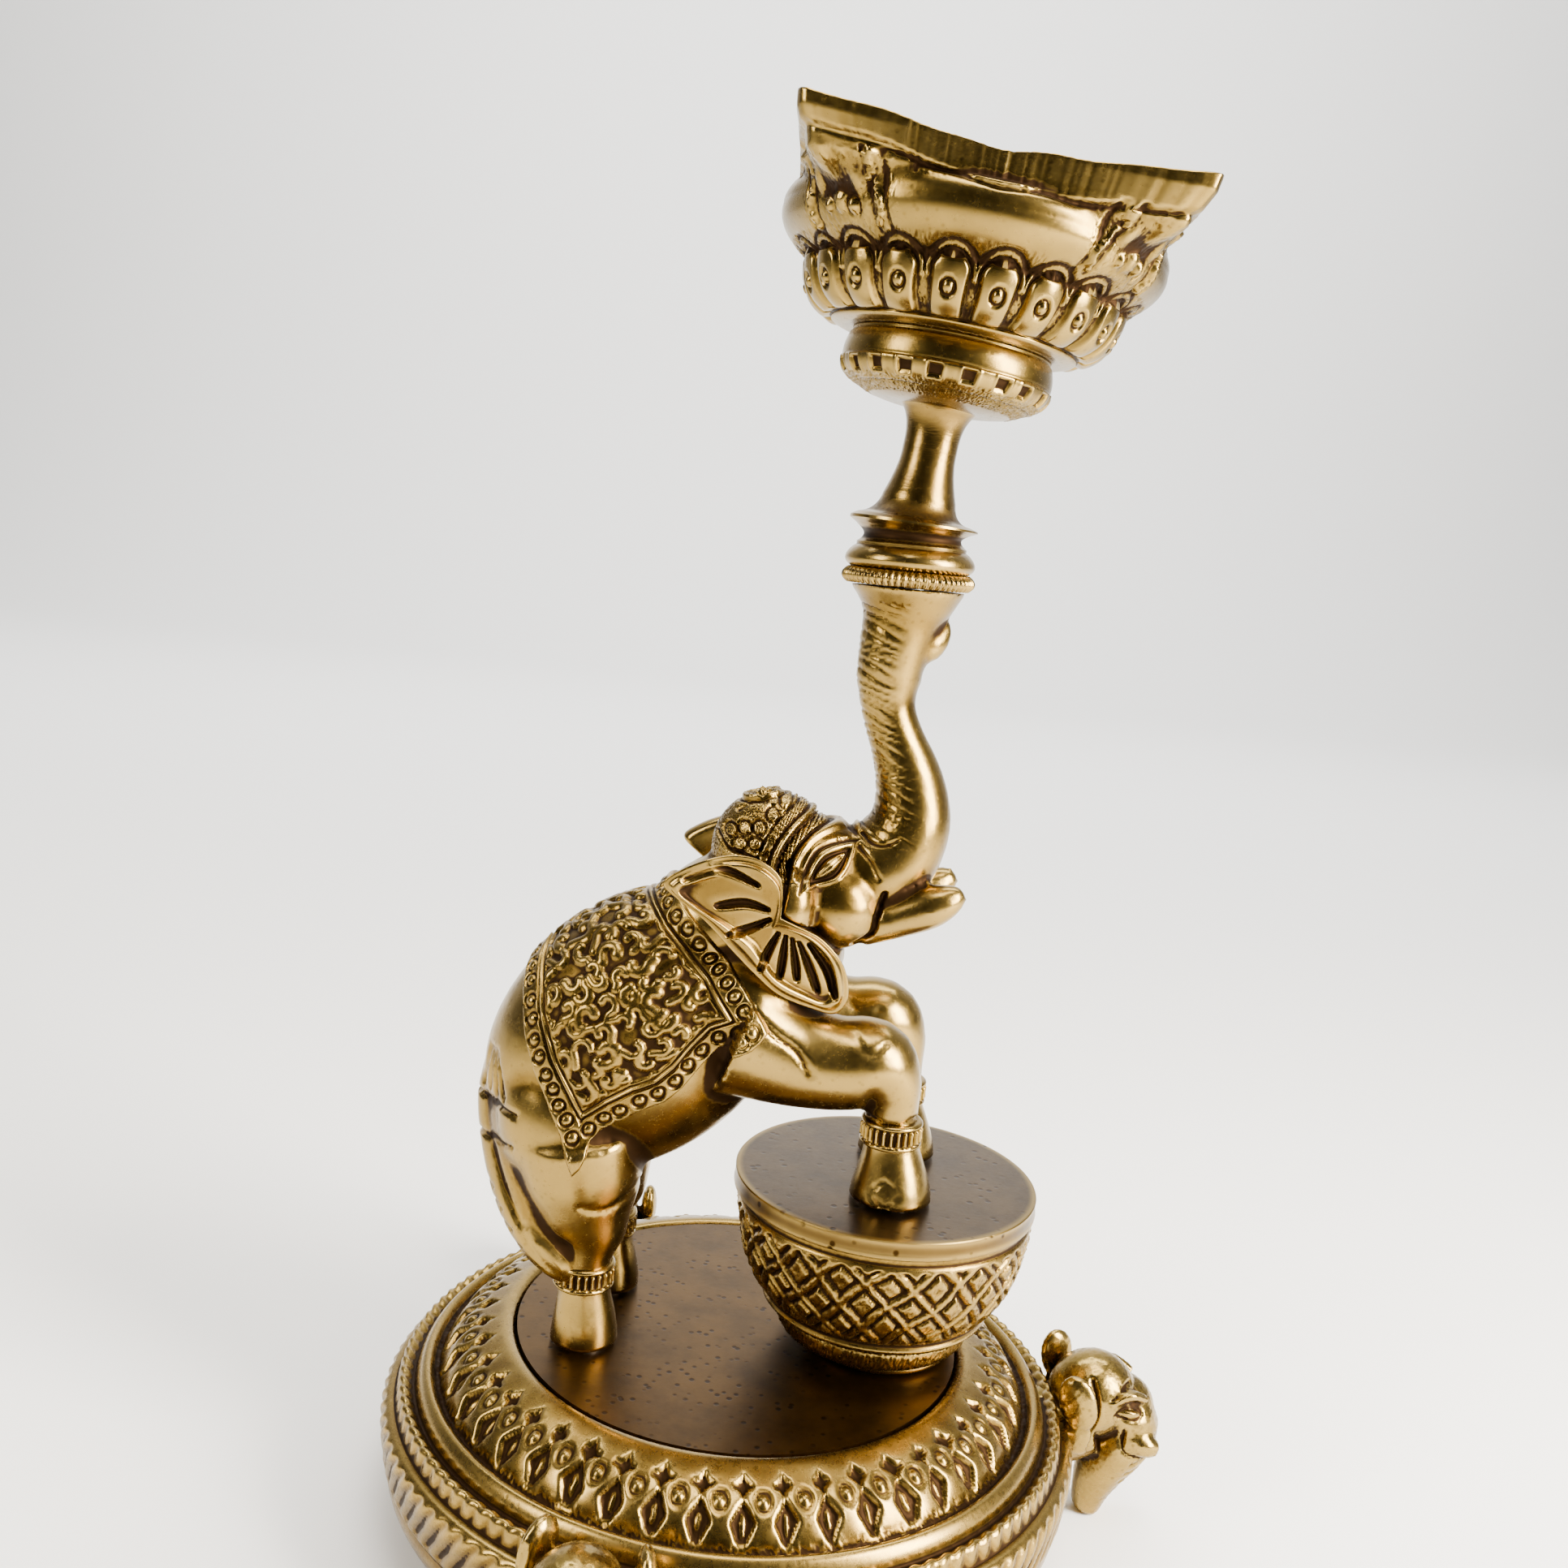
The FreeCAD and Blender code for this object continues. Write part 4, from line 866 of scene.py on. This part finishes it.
# the border: cut lines along it, and a row of ring punches
relief = np.zeros(len(s))
relief -= 0.5 * bump((to_edge - BORDER) / 0.4) + 0.35 * bump((to_edge - BORDER - 1.0) / 0.35)
relief += 0.25 * bump((to_edge - BORDER - 0.5) / 0.4)
rings = []
for sign in (-1, 1):
    for degrees in np.arange(5, 110, 9.2):
        rear_end, front_end = blanket_ends(degrees)
        across = sign * math.radians(degrees) * BODY_R
        rings += [(front_end - 2.5, across), (rear_end + 2.5, across)]
    for place in np.arange(0.14, 0.95, 0.083):
        hem = math.radians(np.interp(place, HEM_WAY, HEM_DEG))
        rings.append((-18.2 + 41.0 * place, sign * (hem * BODY_R - 2.5)))
for x, y in rings:
    x, y = x + chance.uniform(-0.25, 0.25), y + chance.uniform(-0.25, 0.25)
    off = np.hypot(drawn[:, 0] - x, drawn[:, 1] - y)
    ring = 0.55 * bump((off - 1.12) / 0.4) - 0.18 * bump(off / 0.7)
    relief -= ring * (to_edge > 0.9) * (to_edge < BORDER)
# the field: crowded curls, each a piece of a spiral with its end drawn out
field = step_up((to_edge - BORDER - 1.3) / 0.8)
curls = np.zeros(len(s))
for u in np.arange(-16, 22, CURL):
    for w in np.arange(-39, 40, CURL):
        cx, cy = u + chance.uniform(-0.9, 0.9), w + chance.uniform(-0.9, 0.9)
        first, sweep_by = chance.uniform(0, math.tau), chance.choice([-1, 1]) * chance.uniform(2.4, 4.2)
        size = chance.uniform(1.3, 2.2)
        path = [(cx + size * math.cos(first + sweep_by * t) * (1 - 0.45 * t),
                 cy + size * math.sin(first + sweep_by * t) * (1 - 0.45 * t)) for t in np.linspace(0, 1, 7)]
        tail_end = (2 * path[0][0] - path[1][0] + chance.uniform(-0.8, 0.8),
                    2 * path[0][1] - path[1][1] + chance.uniform(-0.8, 0.8))
        curls = np.maximum(curls, paths_near(drawn, [tail_end] + path, chance.uniform(1.7, 2.6)))
relief += field * (0.75 * curls ** 0.6 - 0.5)
# the cloth lies on the body: each of its points is where a ray towards the body's axis strikes it
for vert, away, turn, sideways, up in zip(cloth.verts, s, phi, side, lift + relief):
    axis = at(BLANKET_AXIS[0], 0, BLANKET_AXIS[1]) + length_way * (away * MM)
    out = rise_way * math.cos(turn) + Vector((0, sideways, 0)) * math.sin(turn)
    hit, normal, _, _ = body_tree.ray_cast(axis + out * 0.06, -out)
    vert.co = (hit + (normal * 0.5 + out * 0.5) * (up * MM)) if hit else axis + out * 19 * MM
bmesh.ops.recalc_face_normals(cloth, faces=cloth.faces)
body_middle = at(BLANKET_AXIS[0], 0, BLANKET_AXIS[1])
if sum((f.calc_center_median() - body_middle).dot(f.normal) for f in list(cloth.faces)[:4000]) < 0:
    bmesh.ops.reverse_faces(cloth, faces=cloth.faces)
# curls and rings are rubbed bright, and the ground between them stays brown
blanket_finish = antique_brass("antique_blanket_brass", film=0.35, pits=0.2, gloss=0.26)
blanket = finish_piece(cloth, "elephant_blanket", blanket_finish, "lamp")
stain_hollows(blanket.data, 1.5, 0.3)

# ---- Knurled ring and stem ----
# A thin brass ring with file-cut knurls, and a lathe-turned baluster over it. Both are screwed down
# on the stud in the trunk; the shaft above the sharp flange leans a little towards the front.
ring_low, ring_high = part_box("knurled_ring")
STUD = ((ring_low.x + ring_high.x) / 2 - DECK.x) / MM
RING = [(h.z - DECK.z) / MM for h in (ring_low, ring_high)]
FLANGE = RING[1] + 7.85
STEM_LEAN = math.radians(6)


def lean(shape, ease):
    """Tips whatever is above the flange towards the elephant's front, easing in over a few mm."""
    pivot = at(STUD, 0, FLANGE)
    for vert in shape.verts:
        d = vert.co - pivot
        a = STEM_LEAN * float(step_up((d.z / MM + ease) / (2 * ease) if ease else 1.0))
        forward = d.x * math.cos(a) + d.z * math.sin(a)
        upward = d.z * math.cos(a) - d.x * math.sin(a)
        vert.co = pivot + Vector((forward, d.y, upward))


def brushed_brass(name, gold, tarnish, gloss):
    """Turned brass: fine circular tool lines about the piece's upright axis, and a thin brown film."""
    material = antique_brass(name, gold=gold, tarnish=tarnish, gloss=gloss, pits=0.25, film=0.35)
    bump_node = next(n for n in material.node_tree.nodes if n.type == "BUMP")
    where = add(material, "ShaderNodeTexCoord")
    flat = add(material, "ShaderNodeMapping", {"Scale": (0.12, 0.12, 1.0)}, {"Vector": (where, "Object")})
    lines = add(material, "ShaderNodeTexNoise", {"Scale": 1 / (0.25 * MM), "Detail": 3.0},
                {"Vector": (flat, "Vector")})
    second = add(material, "ShaderNodeBump", {"Strength": 0.5, "Distance": 0.05 * MM},
                 {"Height": (lines, "Fac"), "Normal": (bump_node, "Normal")})
    shader = next(n for n in material.node_tree.nodes if n.type == "BSDF_PRINCIPLED")
    material.node_tree.links.new(second.outputs["Normal"], shader.inputs["Normal"])
    return material


stem_finish = brushed_brass("turned_brass_stem", "#846a34", "#5b4722", 0.24)   # fine rings catch the light
KNURLS = 58
knurled = turned(profile([
    (4.1, RING[0] + 0.05), (10.3, RING[0] + 0.05), ("arc", 11.3, sum(RING) / 2), (10.3, RING[1]),
    (4.1, RING[1])], 0.22), STUD, 0, 0, 580)
ring_piece = finish_piece(knurled, "stem_knurled_ring", stem_finish, "oil_bowl",
                          ["knurled_ring"])
mesh = ring_piece.data
angle, radius = around(mesh, STUD, 0)
_, knurl = cell(angle + 0.012 * np.sin(angle * 7), KNURLS)
raise_relief(mesh, (0.34 * bump(knurl / 0.36) - 0.26) * step_up((radius - 10.0) / 0.4))
stain_hollows(mesh, 1.0, 0.16)

baluster = turned(profile([
    (4.1, RING[1]), (9.9, RING[1] + 0.05), ("arc", 11.05, RING[1] + 1.5), (9.9, RING[1] + 3.4),
    (9.3, RING[1] + 3.8), (9.35, RING[1] + 4.3), ("arc", 8.3, RING[1] + 5.4), (8.7, FLANGE - 1.5),
    (9.8, FLANGE - 0.7), (10.9, FLANGE - 0.15), (10.85, FLANGE + 0.25), (9.6, FLANGE + 0.8),
    ("arc", 7.3, FLANGE + 1.9), (6.2, FLANGE + 4.4),
    ("arc", 4.9, FLANGE + 9.0), (4.6, FLANGE + 12.5), ("arc", 4.9, FLANGE + 16.6), (6.3, FLANGE + 19.2),
    (3.6, FLANGE + 19.2)], 0.3), STUD, 0, 0, 220)
lean(baluster, 3.0)
stem_piece = finish_piece(baluster, "stem_baluster", stem_finish, "oil_bowl", ["stem"],
                          sharp=42)
stain_hollows(stem_piece.data, 1.8, 0.4)
# the nut in the bottom of the oil well is turned from the same bar
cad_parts["bowl_nut"].data.materials.clear()
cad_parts["bowl_nut"].data.materials.append(stem_finish)

# ---- Bowl collar ----
# The cast and turned foot of the bowl, held between the stem and the bowl by the stud. A row of
# square dimples is punched round its lower bevel. To the eye: bright gold, brown in the dimples.
bowl_finish = antique_brass("antique_bowl_brass", gold="#856c32", tarnish="#5a4821", film=0.35, pits=0.25,
                            gloss=0.24)
DIMPLES = 20
collar = turned(profile([
    (3.6, FLANGE + 19.2), (7.4, FLANGE + 19.2), ("arc", 11.6, FLANGE + 19.8), (14.6, FLANGE + 21.2),
    (15.2, FLANGE + 21.2), (15.9, FLANGE + 21.7), ("arc", 17.2, FLANGE + 22.8), (17.8, FLANGE + 24.5),
    (17.5, FLANGE + 24.9), (17.6, FLANGE + 25.3), ("arc", 17.5, FLANGE + 27.0), (17.0, FLANGE + 28.7),
    (16.6, FLANGE + 29.0), (16.7, FLANGE + 29.5), (3.6, FLANGE + 29.5)], 0.24), STUD, 0, 0, 520)
collar_piece = finish_piece(collar, "bowl_collar_dimpled", bowl_finish, "oil_bowl",
                            ["bowl_collar"])
mesh = collar_piece.data
angle, radius = around(mesh, STUD, 0)
high = (places(mesh)[:, 2] - DECK.z) / MM - FLANGE
which, turn = cell(angle, DIMPLES)
shake = chance.uniform(-0.3, 0.3, (DIMPLES, 2))
across, up = turn * math.tau * 17.2 / DIMPLES + shake[which, 0], high - 23.2 + 0.5 * shake[which, 1]
square_hole = np.maximum(np.abs(across) / 1.15, np.abs(up) / 1.0)
height = -0.75 * step_up((1.15 - square_hole) / 0.35) + 0.12 * bump((square_hole - 1.3) / 0.3)
height *= (radius > 15.4) & (high < 24.8) & (high > 21.4)
height += 0.06 * chance.normal(0, 1, len(high)) * (radius > 12) * (high < 22)
raise_relief(mesh, height)
stain_hollows(mesh, 1.5, 0.26)


def lean_mesh(mesh):
    """Tips a finished piece that was chased upright."""
    shape = bmesh.new()
    shape.from_mesh(mesh)
    lean(shape, 0)
    shape.to_mesh(mesh)
    shape.free()


lean_mesh(mesh)

# ---- Bowl ----
# The oil bowl is one casting: a row of lotus petals, a round belly, and a square rim drawn out into
# four wick corners. The rim is filed bright; the outlines of the corners are rows of granules.
RIM_SIDE, RIM_TIP = 29.6, 44.0             # from the middle to the rim at a side, and to a wick corner
RIM_AT, RIM_RISE = 54.0, 2.6               # height of the rim at a side, and the rise to a corner
LOTUS = 21                                 # petals
outside = profile([
    (3.6, 29.6), (18.6, 29.6), (19.7, 29.9), ("arc", 20.6, 30.3), (20.3, 30.9), ("arc", 24.4, 33.4),
    (26.1, 38.8), ("arc", 30.7, 42.4), (31.8, 46.0), ("arc", 30.8, 48.9), (27.0, 51.4)], 0.36)
lower = [p for p in outside if p[1] < 50.0]
belly = np.array(outside)
bowl_mesh = bmesh.new()
COLUMNS, OUT_ROWS, RIM_ROWS, IN_ROWS = 860, len(lower) - 1, 18, 24
ROWS = OUT_ROWS + RIM_ROWS + IN_ROWS
bmesh.ops.create_grid(bowl_mesh, x_segments=COLUMNS, y_segments=ROWS, size=0.5)
grid = np.array([v.co for v in bowl_mesh.verts]) + 0.5
phi = grid[:, 0] * math.tau
row = np.round(grid[:, 1] * ROWS).astype(int)
from_side = (phi + math.pi / 4) % (math.pi / 2) - math.pi / 4          # angle from the nearest side's middle


def soft_max(a, b, k):
    """The larger of a and b, rounded over where they meet."""
    h = np.clip(0.5 + 0.5 * (a - b) / k, 0, 1)
    return b + (a - b) * h + k * h * (1 - h)


def square_r(side_half, tip_r):
    """Radius of a four-cornered plan in every direction: hollow sides, corners rounded."""
    pull = tip_r / math.sqrt(2) - side_half
    r = (side_half + pull * np.tan(from_side) ** 2) / np.cos(from_side)
    return -soft_max(-r, -(tip_r - 0.9) * np.ones_like(r), 1.8)


rim_z = RIM_AT + RIM_RISE * (RIM_TIP * np.sin(from_side) / (RIM_TIP * math.sqrt(0.5))) ** 2
rim_z += 0.22 * np.sin(phi * 9 + 1) + 0.16 * np.sin(phi * 17)
out_r = np.interp(row, np.arange(len(lower)), [p[0] for p in lower])
out_z = np.interp(row, np.arange(len(lower)), [p[1] for p in lower])
band = np.clip((row - OUT_ROWS) / RIM_ROWS, 0, 1)
BAND_TALL = 4.8
at_rim = row >= OUT_ROWS
last_z = lower[-1][1]
z = np.where(at_rim, rim_z - 0.25 - (rim_z - 0.25 - last_z) * (1 - band), out_z)
# above the petals the round belly flares into the square rim
flare_side = np.interp(z, [41, 45, 49.4, 54], [25.0, 27.6, 29.0, 29.6])
flare_tip = np.interp(z, [41, 45, 49.4, 54, 57], [26.0, 32.0, 40.0, 43.4, 44.0])
flare = square_r(flare_side, flare_tip)
round_r = np.interp(z, belly[3:, 1], belly[3:, 0])
round_r = np.where(z > 49, round_r - (z - 49) * 3, round_r)
r = np.where(at_rim | (z > 41), soft_max(flare, round_r, 1.6), out_r)
band_from = rim_z - BAND_TALL + 0.9 * np.sin(phi * 2 + 0.6)
on_band = step_up((z - band_from) / 0.35)
r = r + 0.75 * on_band - 0.35 * bump((z - band_from + 0.35) / 0.5)
# over the lip and down inside, to the flat floor of the oil well
inner_rows = row > OUT_ROWS + RIM_ROWS
k = np.clip((row - OUT_ROWS - RIM_ROWS) / IN_ROWS, 0, 1)
rim_edge = square_r(RIM_SIDE * np.ones_like(r), RIM_TIP * np.ones_like(r))
in_path = np.array([(0, 0.0, 0.0), (0.04, -0.7, 0.25), (0.08, -2.2, 0.25), (0.12, -3.0, -0.2)])
well_k = np.array([0.12, 0.35, 0.5, 0.68, 0.82, 1.0])
well_z = np.array([53.6, 46.4, 42.0, 37.8, 34.9, 34.8])
well_side = np.array([26.4, 24.9, 23.8, 19.2, 9.0, 0.05])
well_tip = np.array([38.0, 26.6, 23.8, 19.2, 9.0, 0.05])
side_k, tip_k = np.interp(k, well_k, well_side), np.interp(k, well_k, well_tip)
inner = np.where(k < 0.5, square_r(side_k, np.maximum(tip_k, side_k + 1.7)), side_k)
lip_r = rim_edge + np.interp(k, in_path[:, 0], in_path[:, 1])
z_in = np.where(k < 0.12, rim_z + np.interp(k, in_path[:, 0], in_path[:, 2]) - 0.25,
                np.interp(k, well_k, well_z) + (rim_z - RIM_AT) * np.clip((0.5 - k) / 0.38, 0, 1))
r = np.where(inner_rows, np.where(k < 0.12, lip_r, inner), r)
z = np.where(inner_rows, z_in, z)
middle = at(STUD, 0, FLANGE)
for vert, a, radius_mm, high_mm in zip(bowl_mesh.verts, phi, r, z):
    vert.co = middle + Vector((radius_mm * math.cos(a), radius_mm * math.sin(a), high_mm)) * MM
seam = [v for v in bowl_mesh.verts if len(v.link_faces) < 4]
bmesh.ops.remove_doubles(bowl_mesh, verts=seam, dist=0.001 * MM)
bmesh.ops.recalc_face_normals(bowl_mesh, faces=bowl_mesh.faces)
bowl_piece = finish_piece(bowl_mesh, "bowl_lotus", bowl_finish, "oil_bowl", ["bowl"])
mesh = bowl_piece.data
angle, radius = around(mesh, STUD, 0)
high = (places(mesh)[:, 2] - DECK.z) / MM - FLANGE
is_out = outward(mesh)
spoke = np.stack([np.cos(angle), np.sin(angle)], axis=1)
facing_out = (is_out[:, :2] * spoke).sum(axis=1) > -0.15
facing_out &= ~((is_out[:, 2] > 0.75) & (high > 40))
# the lotus petals: each a rounded tongue with a ring punch, under a raised lip
which, turn = cell(angle, LOTUS, 0.32)
shake = chance.uniform(-1, 1, (LOTUS, 3))
across = turn * math.tau * radius / LOTUS + 0.35 * shake[which, 0]
t = (high - 31.2 - 0.3 * shake[which, 1]) / 8.0
half_wide = (2.75 + 0.6 * t) * np.sqrt(np.clip(1 - np.clip((t - 0.7) / 0.3, 0, 1) ** 2, 0, 1))
inside_by = half_wide - np.abs(across)
petal_part = (high > 30.8) & (high < 41.0) & facing_out
petal = 1.15 * step_up((inside_by + 0.05) / 0.9) + 0.35 * bump(across / 2.4) * step_up(inside_by / 0.8)
lip = np.hypot(across / 3.6, (np.maximum(t, 0.7) - 0.7) * 8.0 / 3.2)
petal += (t > 0.55) * 0.7 * bump((lip - 1.0) / 0.13)
punch = np.hypot(across + 0.25 * shake[which, 2], high - 34.6)
petal -= (0.7 * bump((punch - 1.05) / 0.38) - 0.2 * bump(punch / 0.8)) * (inside_by > 0.2)
petal += 0.05 * chance.normal(0, 1, len(high)) * (inside_by < 0.3)
height = petal_part * (petal - 0.5 * step_up((1.35 - lip) / 0.25)) * step_up((high - 30.9) / 0.5)
# under each wick corner: two rows of granules, and a flower of an oval and five leaves between them
corner = (angle + math.pi / 2) % (math.pi / 2) - math.pi / 4
arc = corner * np.clip(radius, 26, 40)
corner_part = facing_out & (high > 40.0) & (high < 53.0)
granules = np.zeros(len(high))
for sign in (-1, 1):
    for grain in range(13):
        gx = sign * (6.6 + 0.9 * math.sin(grain * 0.5) + chance.uniform(-0.35, 0.35))
        gz = 41.2 + 0.72 * grain + chance.uniform(-0.2, 0.2)
        granules = np.maximum(granules, bump(np.hypot(arc - gx, high - gz) / chance.uniform(0.55, 0.95)))
beside_rows = bump((np.abs(np.abs(arc) - 7.0) - 1.1) / 0.7) * (high < 50.5)
height += corner_part * (0.75 * granules - 0.35 * beside_rows)
oval = np.hypot(arc / 2.3, (high - 48.6) / 2.7)
flower = 0.7 * bump(oval / 1.05) - 0.75 * bump((oval - 1.22) / 0.22)
leaves = [(-3.9, 46.2, 1.5), (3.9, 46.2, 1.5), (0.0, 43.9, 1.7), (-2.4, 43.2, 1.0), (2.4, 43.2, 1.0)]
for sx, sz, big in leaves:
    leaf = np.hypot(arc - sx, (high - sz) * 0.85) / big
    flower = np.maximum(flower, 0.75 * bump(leaf)) - 0.55 * bump((leaf - 1.25) / 0.28) * (oval > 1.2)
height += corner_part * flower * step_up((high - 41.5) / 1.0)
grit = facing_out & (high > 40.5) & (high < 50) & (np.abs(arc) < 9.5)
height += grit * 0.05 * chance.normal(0, 1, len(high))
# bright vertical file strokes on the rim and just under it, where the file ran off
strokes = np.interp((angle % math.tau) * 420 / math.tau % 420, np.arange(420), chance.normal(0, 1, 420))
on_rim = facing_out & (high > 48.5)
height += on_rim * 0.06 * strokes
raise_relief(mesh, height)
stain_hollows(mesh, 1.9, 0.3)
# the filed band of the rim holds no patina
layer = mesh.attributes["hollow"]
patina = np.zeros(len(mesh.vertices))
layer.data.foreach_get("value", patina)
bare = facing_out * step_up((high - 50.6) / 0.5)
patina = patina * (1 - bare) + bare * np.clip(-0.55 - 0.2 * strokes, -1, 0)
layer.data.foreach_set("value", patina)
lean_mesh(mesh)
thin(bowl_piece)

# ---- Screws, washers, spacers and the stud ----
# Zinc-plated steel fasteners, out of sight inside the base and the drum. To the eye: pale grey metal,
# faintly mottled where the plating has dulled.
zinc = bpy.data.materials.new("zinc_plated_steel")
zinc.use_nodes = True
zinc.node_tree.nodes.clear()
where = add(zinc, "ShaderNodeTexCoord")
mottle = add(zinc, "ShaderNodeTexNoise", {"Scale": 1 / (1.6 * MM), "Detail": 4.0},
             {"Vector": (where, "Object")})
tint = ramp(zinc, (mottle, "Fac"), [(0.3, "#8f9296"), (0.7, "#b9bcbd")])
haze = add(zinc, "ShaderNodeMapRange", {"To Min": 0.28, "To Max": 0.46}, {"Value": (mottle, "Fac")})
# the thread, a groove every 1.5 mm
threads = add(zinc, "ShaderNodeTexWave", {"Scale": 1 / (1.5 * MM) / 6.3, "bands_direction": "Z"},
              {"Vector": (where, "Object")})
cut = add(zinc, "ShaderNodeBump", {"Strength": 0.4, "Distance": 0.15 * MM}, {"Height": (threads, "Fac")})
steel = add(zinc, "ShaderNodeBsdfPrincipled", {"Metallic": 1.0}, {
    "Base Color": (tint, "Color"), "Roughness": (haze, "Result"), "Normal": (cut, "Normal")})
add(zinc, "ShaderNodeOutputMaterial", {}, {"Surface": (steel, "BSDF")})
for name in ("base_foot_screws", "pedestal_bolt", "pedestal_washer", "pedestal_nut",
             "hind_foot_bolts", "hind_foot_washers", "hind_foot_spacers",
             "fore_foot_bolts", "fore_foot_washers", "fore_foot_spacers", "stem_stud"):
    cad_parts[name].data.materials.clear()
    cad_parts[name].data.materials.append(zinc)

# ---- The room ----
# A roll of matt white paper that curves up behind the lamp, and three soft lamps: a tall window on the
# right, a small one on the left and one overhead. A fourth lights the paper's curve.
floor = bpy.data.objects.new("floor", bpy.data.meshes.new("floor"))
bpy.context.scene.collection.objects.link(floor)
table = bmesh.new()
bmesh.ops.create_grid(table, x_segments=1, y_segments=1, size=1.6)
rear = [e for e in table.edges if all(v.co.y > 0 for v in e.verts)]
SWEEP_R, SWEEP_STEPS = 0.7, 16
for k in range(SWEEP_STEPS):
    made = bmesh.ops.extrude_edge_only(table, edges=rear)["geom"]
    rear = [e for e in made if isinstance(e, bmesh.types.BMEdge)]
    a, b = (math.pi / 2 * (k + s) / SWEEP_STEPS for s in (0, 1))
    bmesh.ops.translate(table, verts=list({v for e in rear for v in e.verts}), vec=(
        0, SWEEP_R * (math.sin(b) - math.sin(a)), SWEEP_R * (math.cos(a) - math.cos(b))))
made = bmesh.ops.extrude_edge_only(table, edges=rear)["geom"]
bmesh.ops.translate(table, verts=[v for v in made if isinstance(v, bmesh.types.BMVert)], vec=(0, 0, 2.5))
table.to_mesh(floor.data)
table.free()
for face in floor.data.polygons:
    face.use_smooth = True
pale = bpy.data.materials.new("matt_white_paper")      # even, soft and without any gloss
pale.use_nodes = True
paper = pale.node_tree.nodes["Principled BSDF"]
paper.inputs["Base Color"].default_value = linear("#f4f3f0")
paper.inputs["Roughness"].default_value = 0.9
# far from the lamp the paper is seen as pale as the room, so that no dark edge shows from other sides
spot = add(pale, "ShaderNodeTexCoord")
distance = add(pale, "ShaderNodeVectorMath", {"operation": "LENGTH"}, {0: (spot, "Object")})
far = add(pale, "ShaderNodeMapRange",
          {"interpolation_type": "SMOOTHSTEP", "From Min": 0.4, "From Max": 1.2, "To Max": 1.0},
          {"Value": (distance, "Value")})
across = add(pale, "ShaderNodeSeparateXYZ", {}, {"Vector": (spot, "Object")})
front = add(pale, "ShaderNodeMapRange", {"From Min": 0.5, "From Max": 0.0}, {"Value": (across, "Y")})
glow = add(pale, "ShaderNodeMath", {"operation": "MULTIPLY"}, {0: (far, "Result"), 1: (front, "Result")})
direct = add(pale, "ShaderNodeLightPath")
shown = add(pale, "ShaderNodeMath", {"operation": "MULTIPLY"},
            {0: (glow, "Value"), 1: (direct, "Is Camera Ray")})
paper.inputs["Emission Color"].default_value = linear("#e6e4e0")
pale.node_tree.links.new(shown.outputs["Value"], paper.inputs["Emission Strength"])
floor.data.materials.append(pale)

# the room is a white wall behind the lamp and a dim one in front of it, which the brass reflects
world = bpy.data.worlds.new("studio")
bpy.context.scene.world = world
world.use_nodes = True
look = add(world, "ShaderNodeTexCoord")
parts = add(world, "ShaderNodeSeparateXYZ", {}, {"Vector": (look, "Generated")})
behind = add(world, "ShaderNodeMapRange",
             {"interpolation_type": "SMOOTHSTEP", "From Min": 0.0, "From Max": 0.7}, {"Value": (parts, "Y")})
walls = add(world, "ShaderNodeMix", {"data_type": "RGBA"}, {0: (behind, "Result")})
walls.inputs[6].default_value = linear("#6f6b66")
walls.inputs[7].default_value = linear("#efedea")
power = add(world, "ShaderNodeMapRange", {"To Min": 0.22, "To Max": 1.0}, {"Value": (behind, "Result")})
# looked at directly, the room is evenly pale
look_at = add(world, "ShaderNodeLightPath")
seen = add(world, "ShaderNodeMix", {"data_type": "RGBA"}, {0: (look_at, "Is Camera Ray"), 6: (walls, 2)})
seen.inputs[7].default_value = linear("#e6e4e0")
strength = add(world, "ShaderNodeMix", {"data_type": "FLOAT", 3: 1.15},
               {0: (look_at, "Is Camera Ray"), 2: (power, "Result")})
wall_light = world.node_tree.nodes["Background"]
world.node_tree.links.new(seen.outputs[2], wall_light.inputs["Color"])
world.node_tree.links.new(strength.outputs[0], wall_light.inputs["Strength"])


def soft_lamp(name, place, aim, size, watts, tint="#fff8ee"):
    """A rectangular lamp of the given size in metres, turned to face a place."""
    lamp = bpy.data.lights.new(name, "AREA")
    lamp.shape = "RECTANGLE"
    lamp.size, lamp.size_y = size
    lamp.energy = watts
    lamp.color = linear(tint)[:3]
    holder = bpy.data.objects.new(name, lamp)
    bpy.context.scene.collection.objects.link(holder)
    holder.location = place
    holder.rotation_euler = (Vector(aim) - Vector(place)).to_track_quat("-Z", "Y").to_euler()


middle = at(0, 0, 90)
soft_lamp("window_right", at(460, -240, 280), middle, (0.2, 0.42), 20)
soft_lamp("window_left", at(-420, -260, 330), middle, (0.16, 0.3), 3)
soft_lamp("overhead", at(40, -60, 600), middle, (0.3, 0.3), 4)
soft_lamp("on_the_sweep", at(0, 700, 1500), at(0, 1900, 500), (1.8, 0.8), 90, "#ffffff")
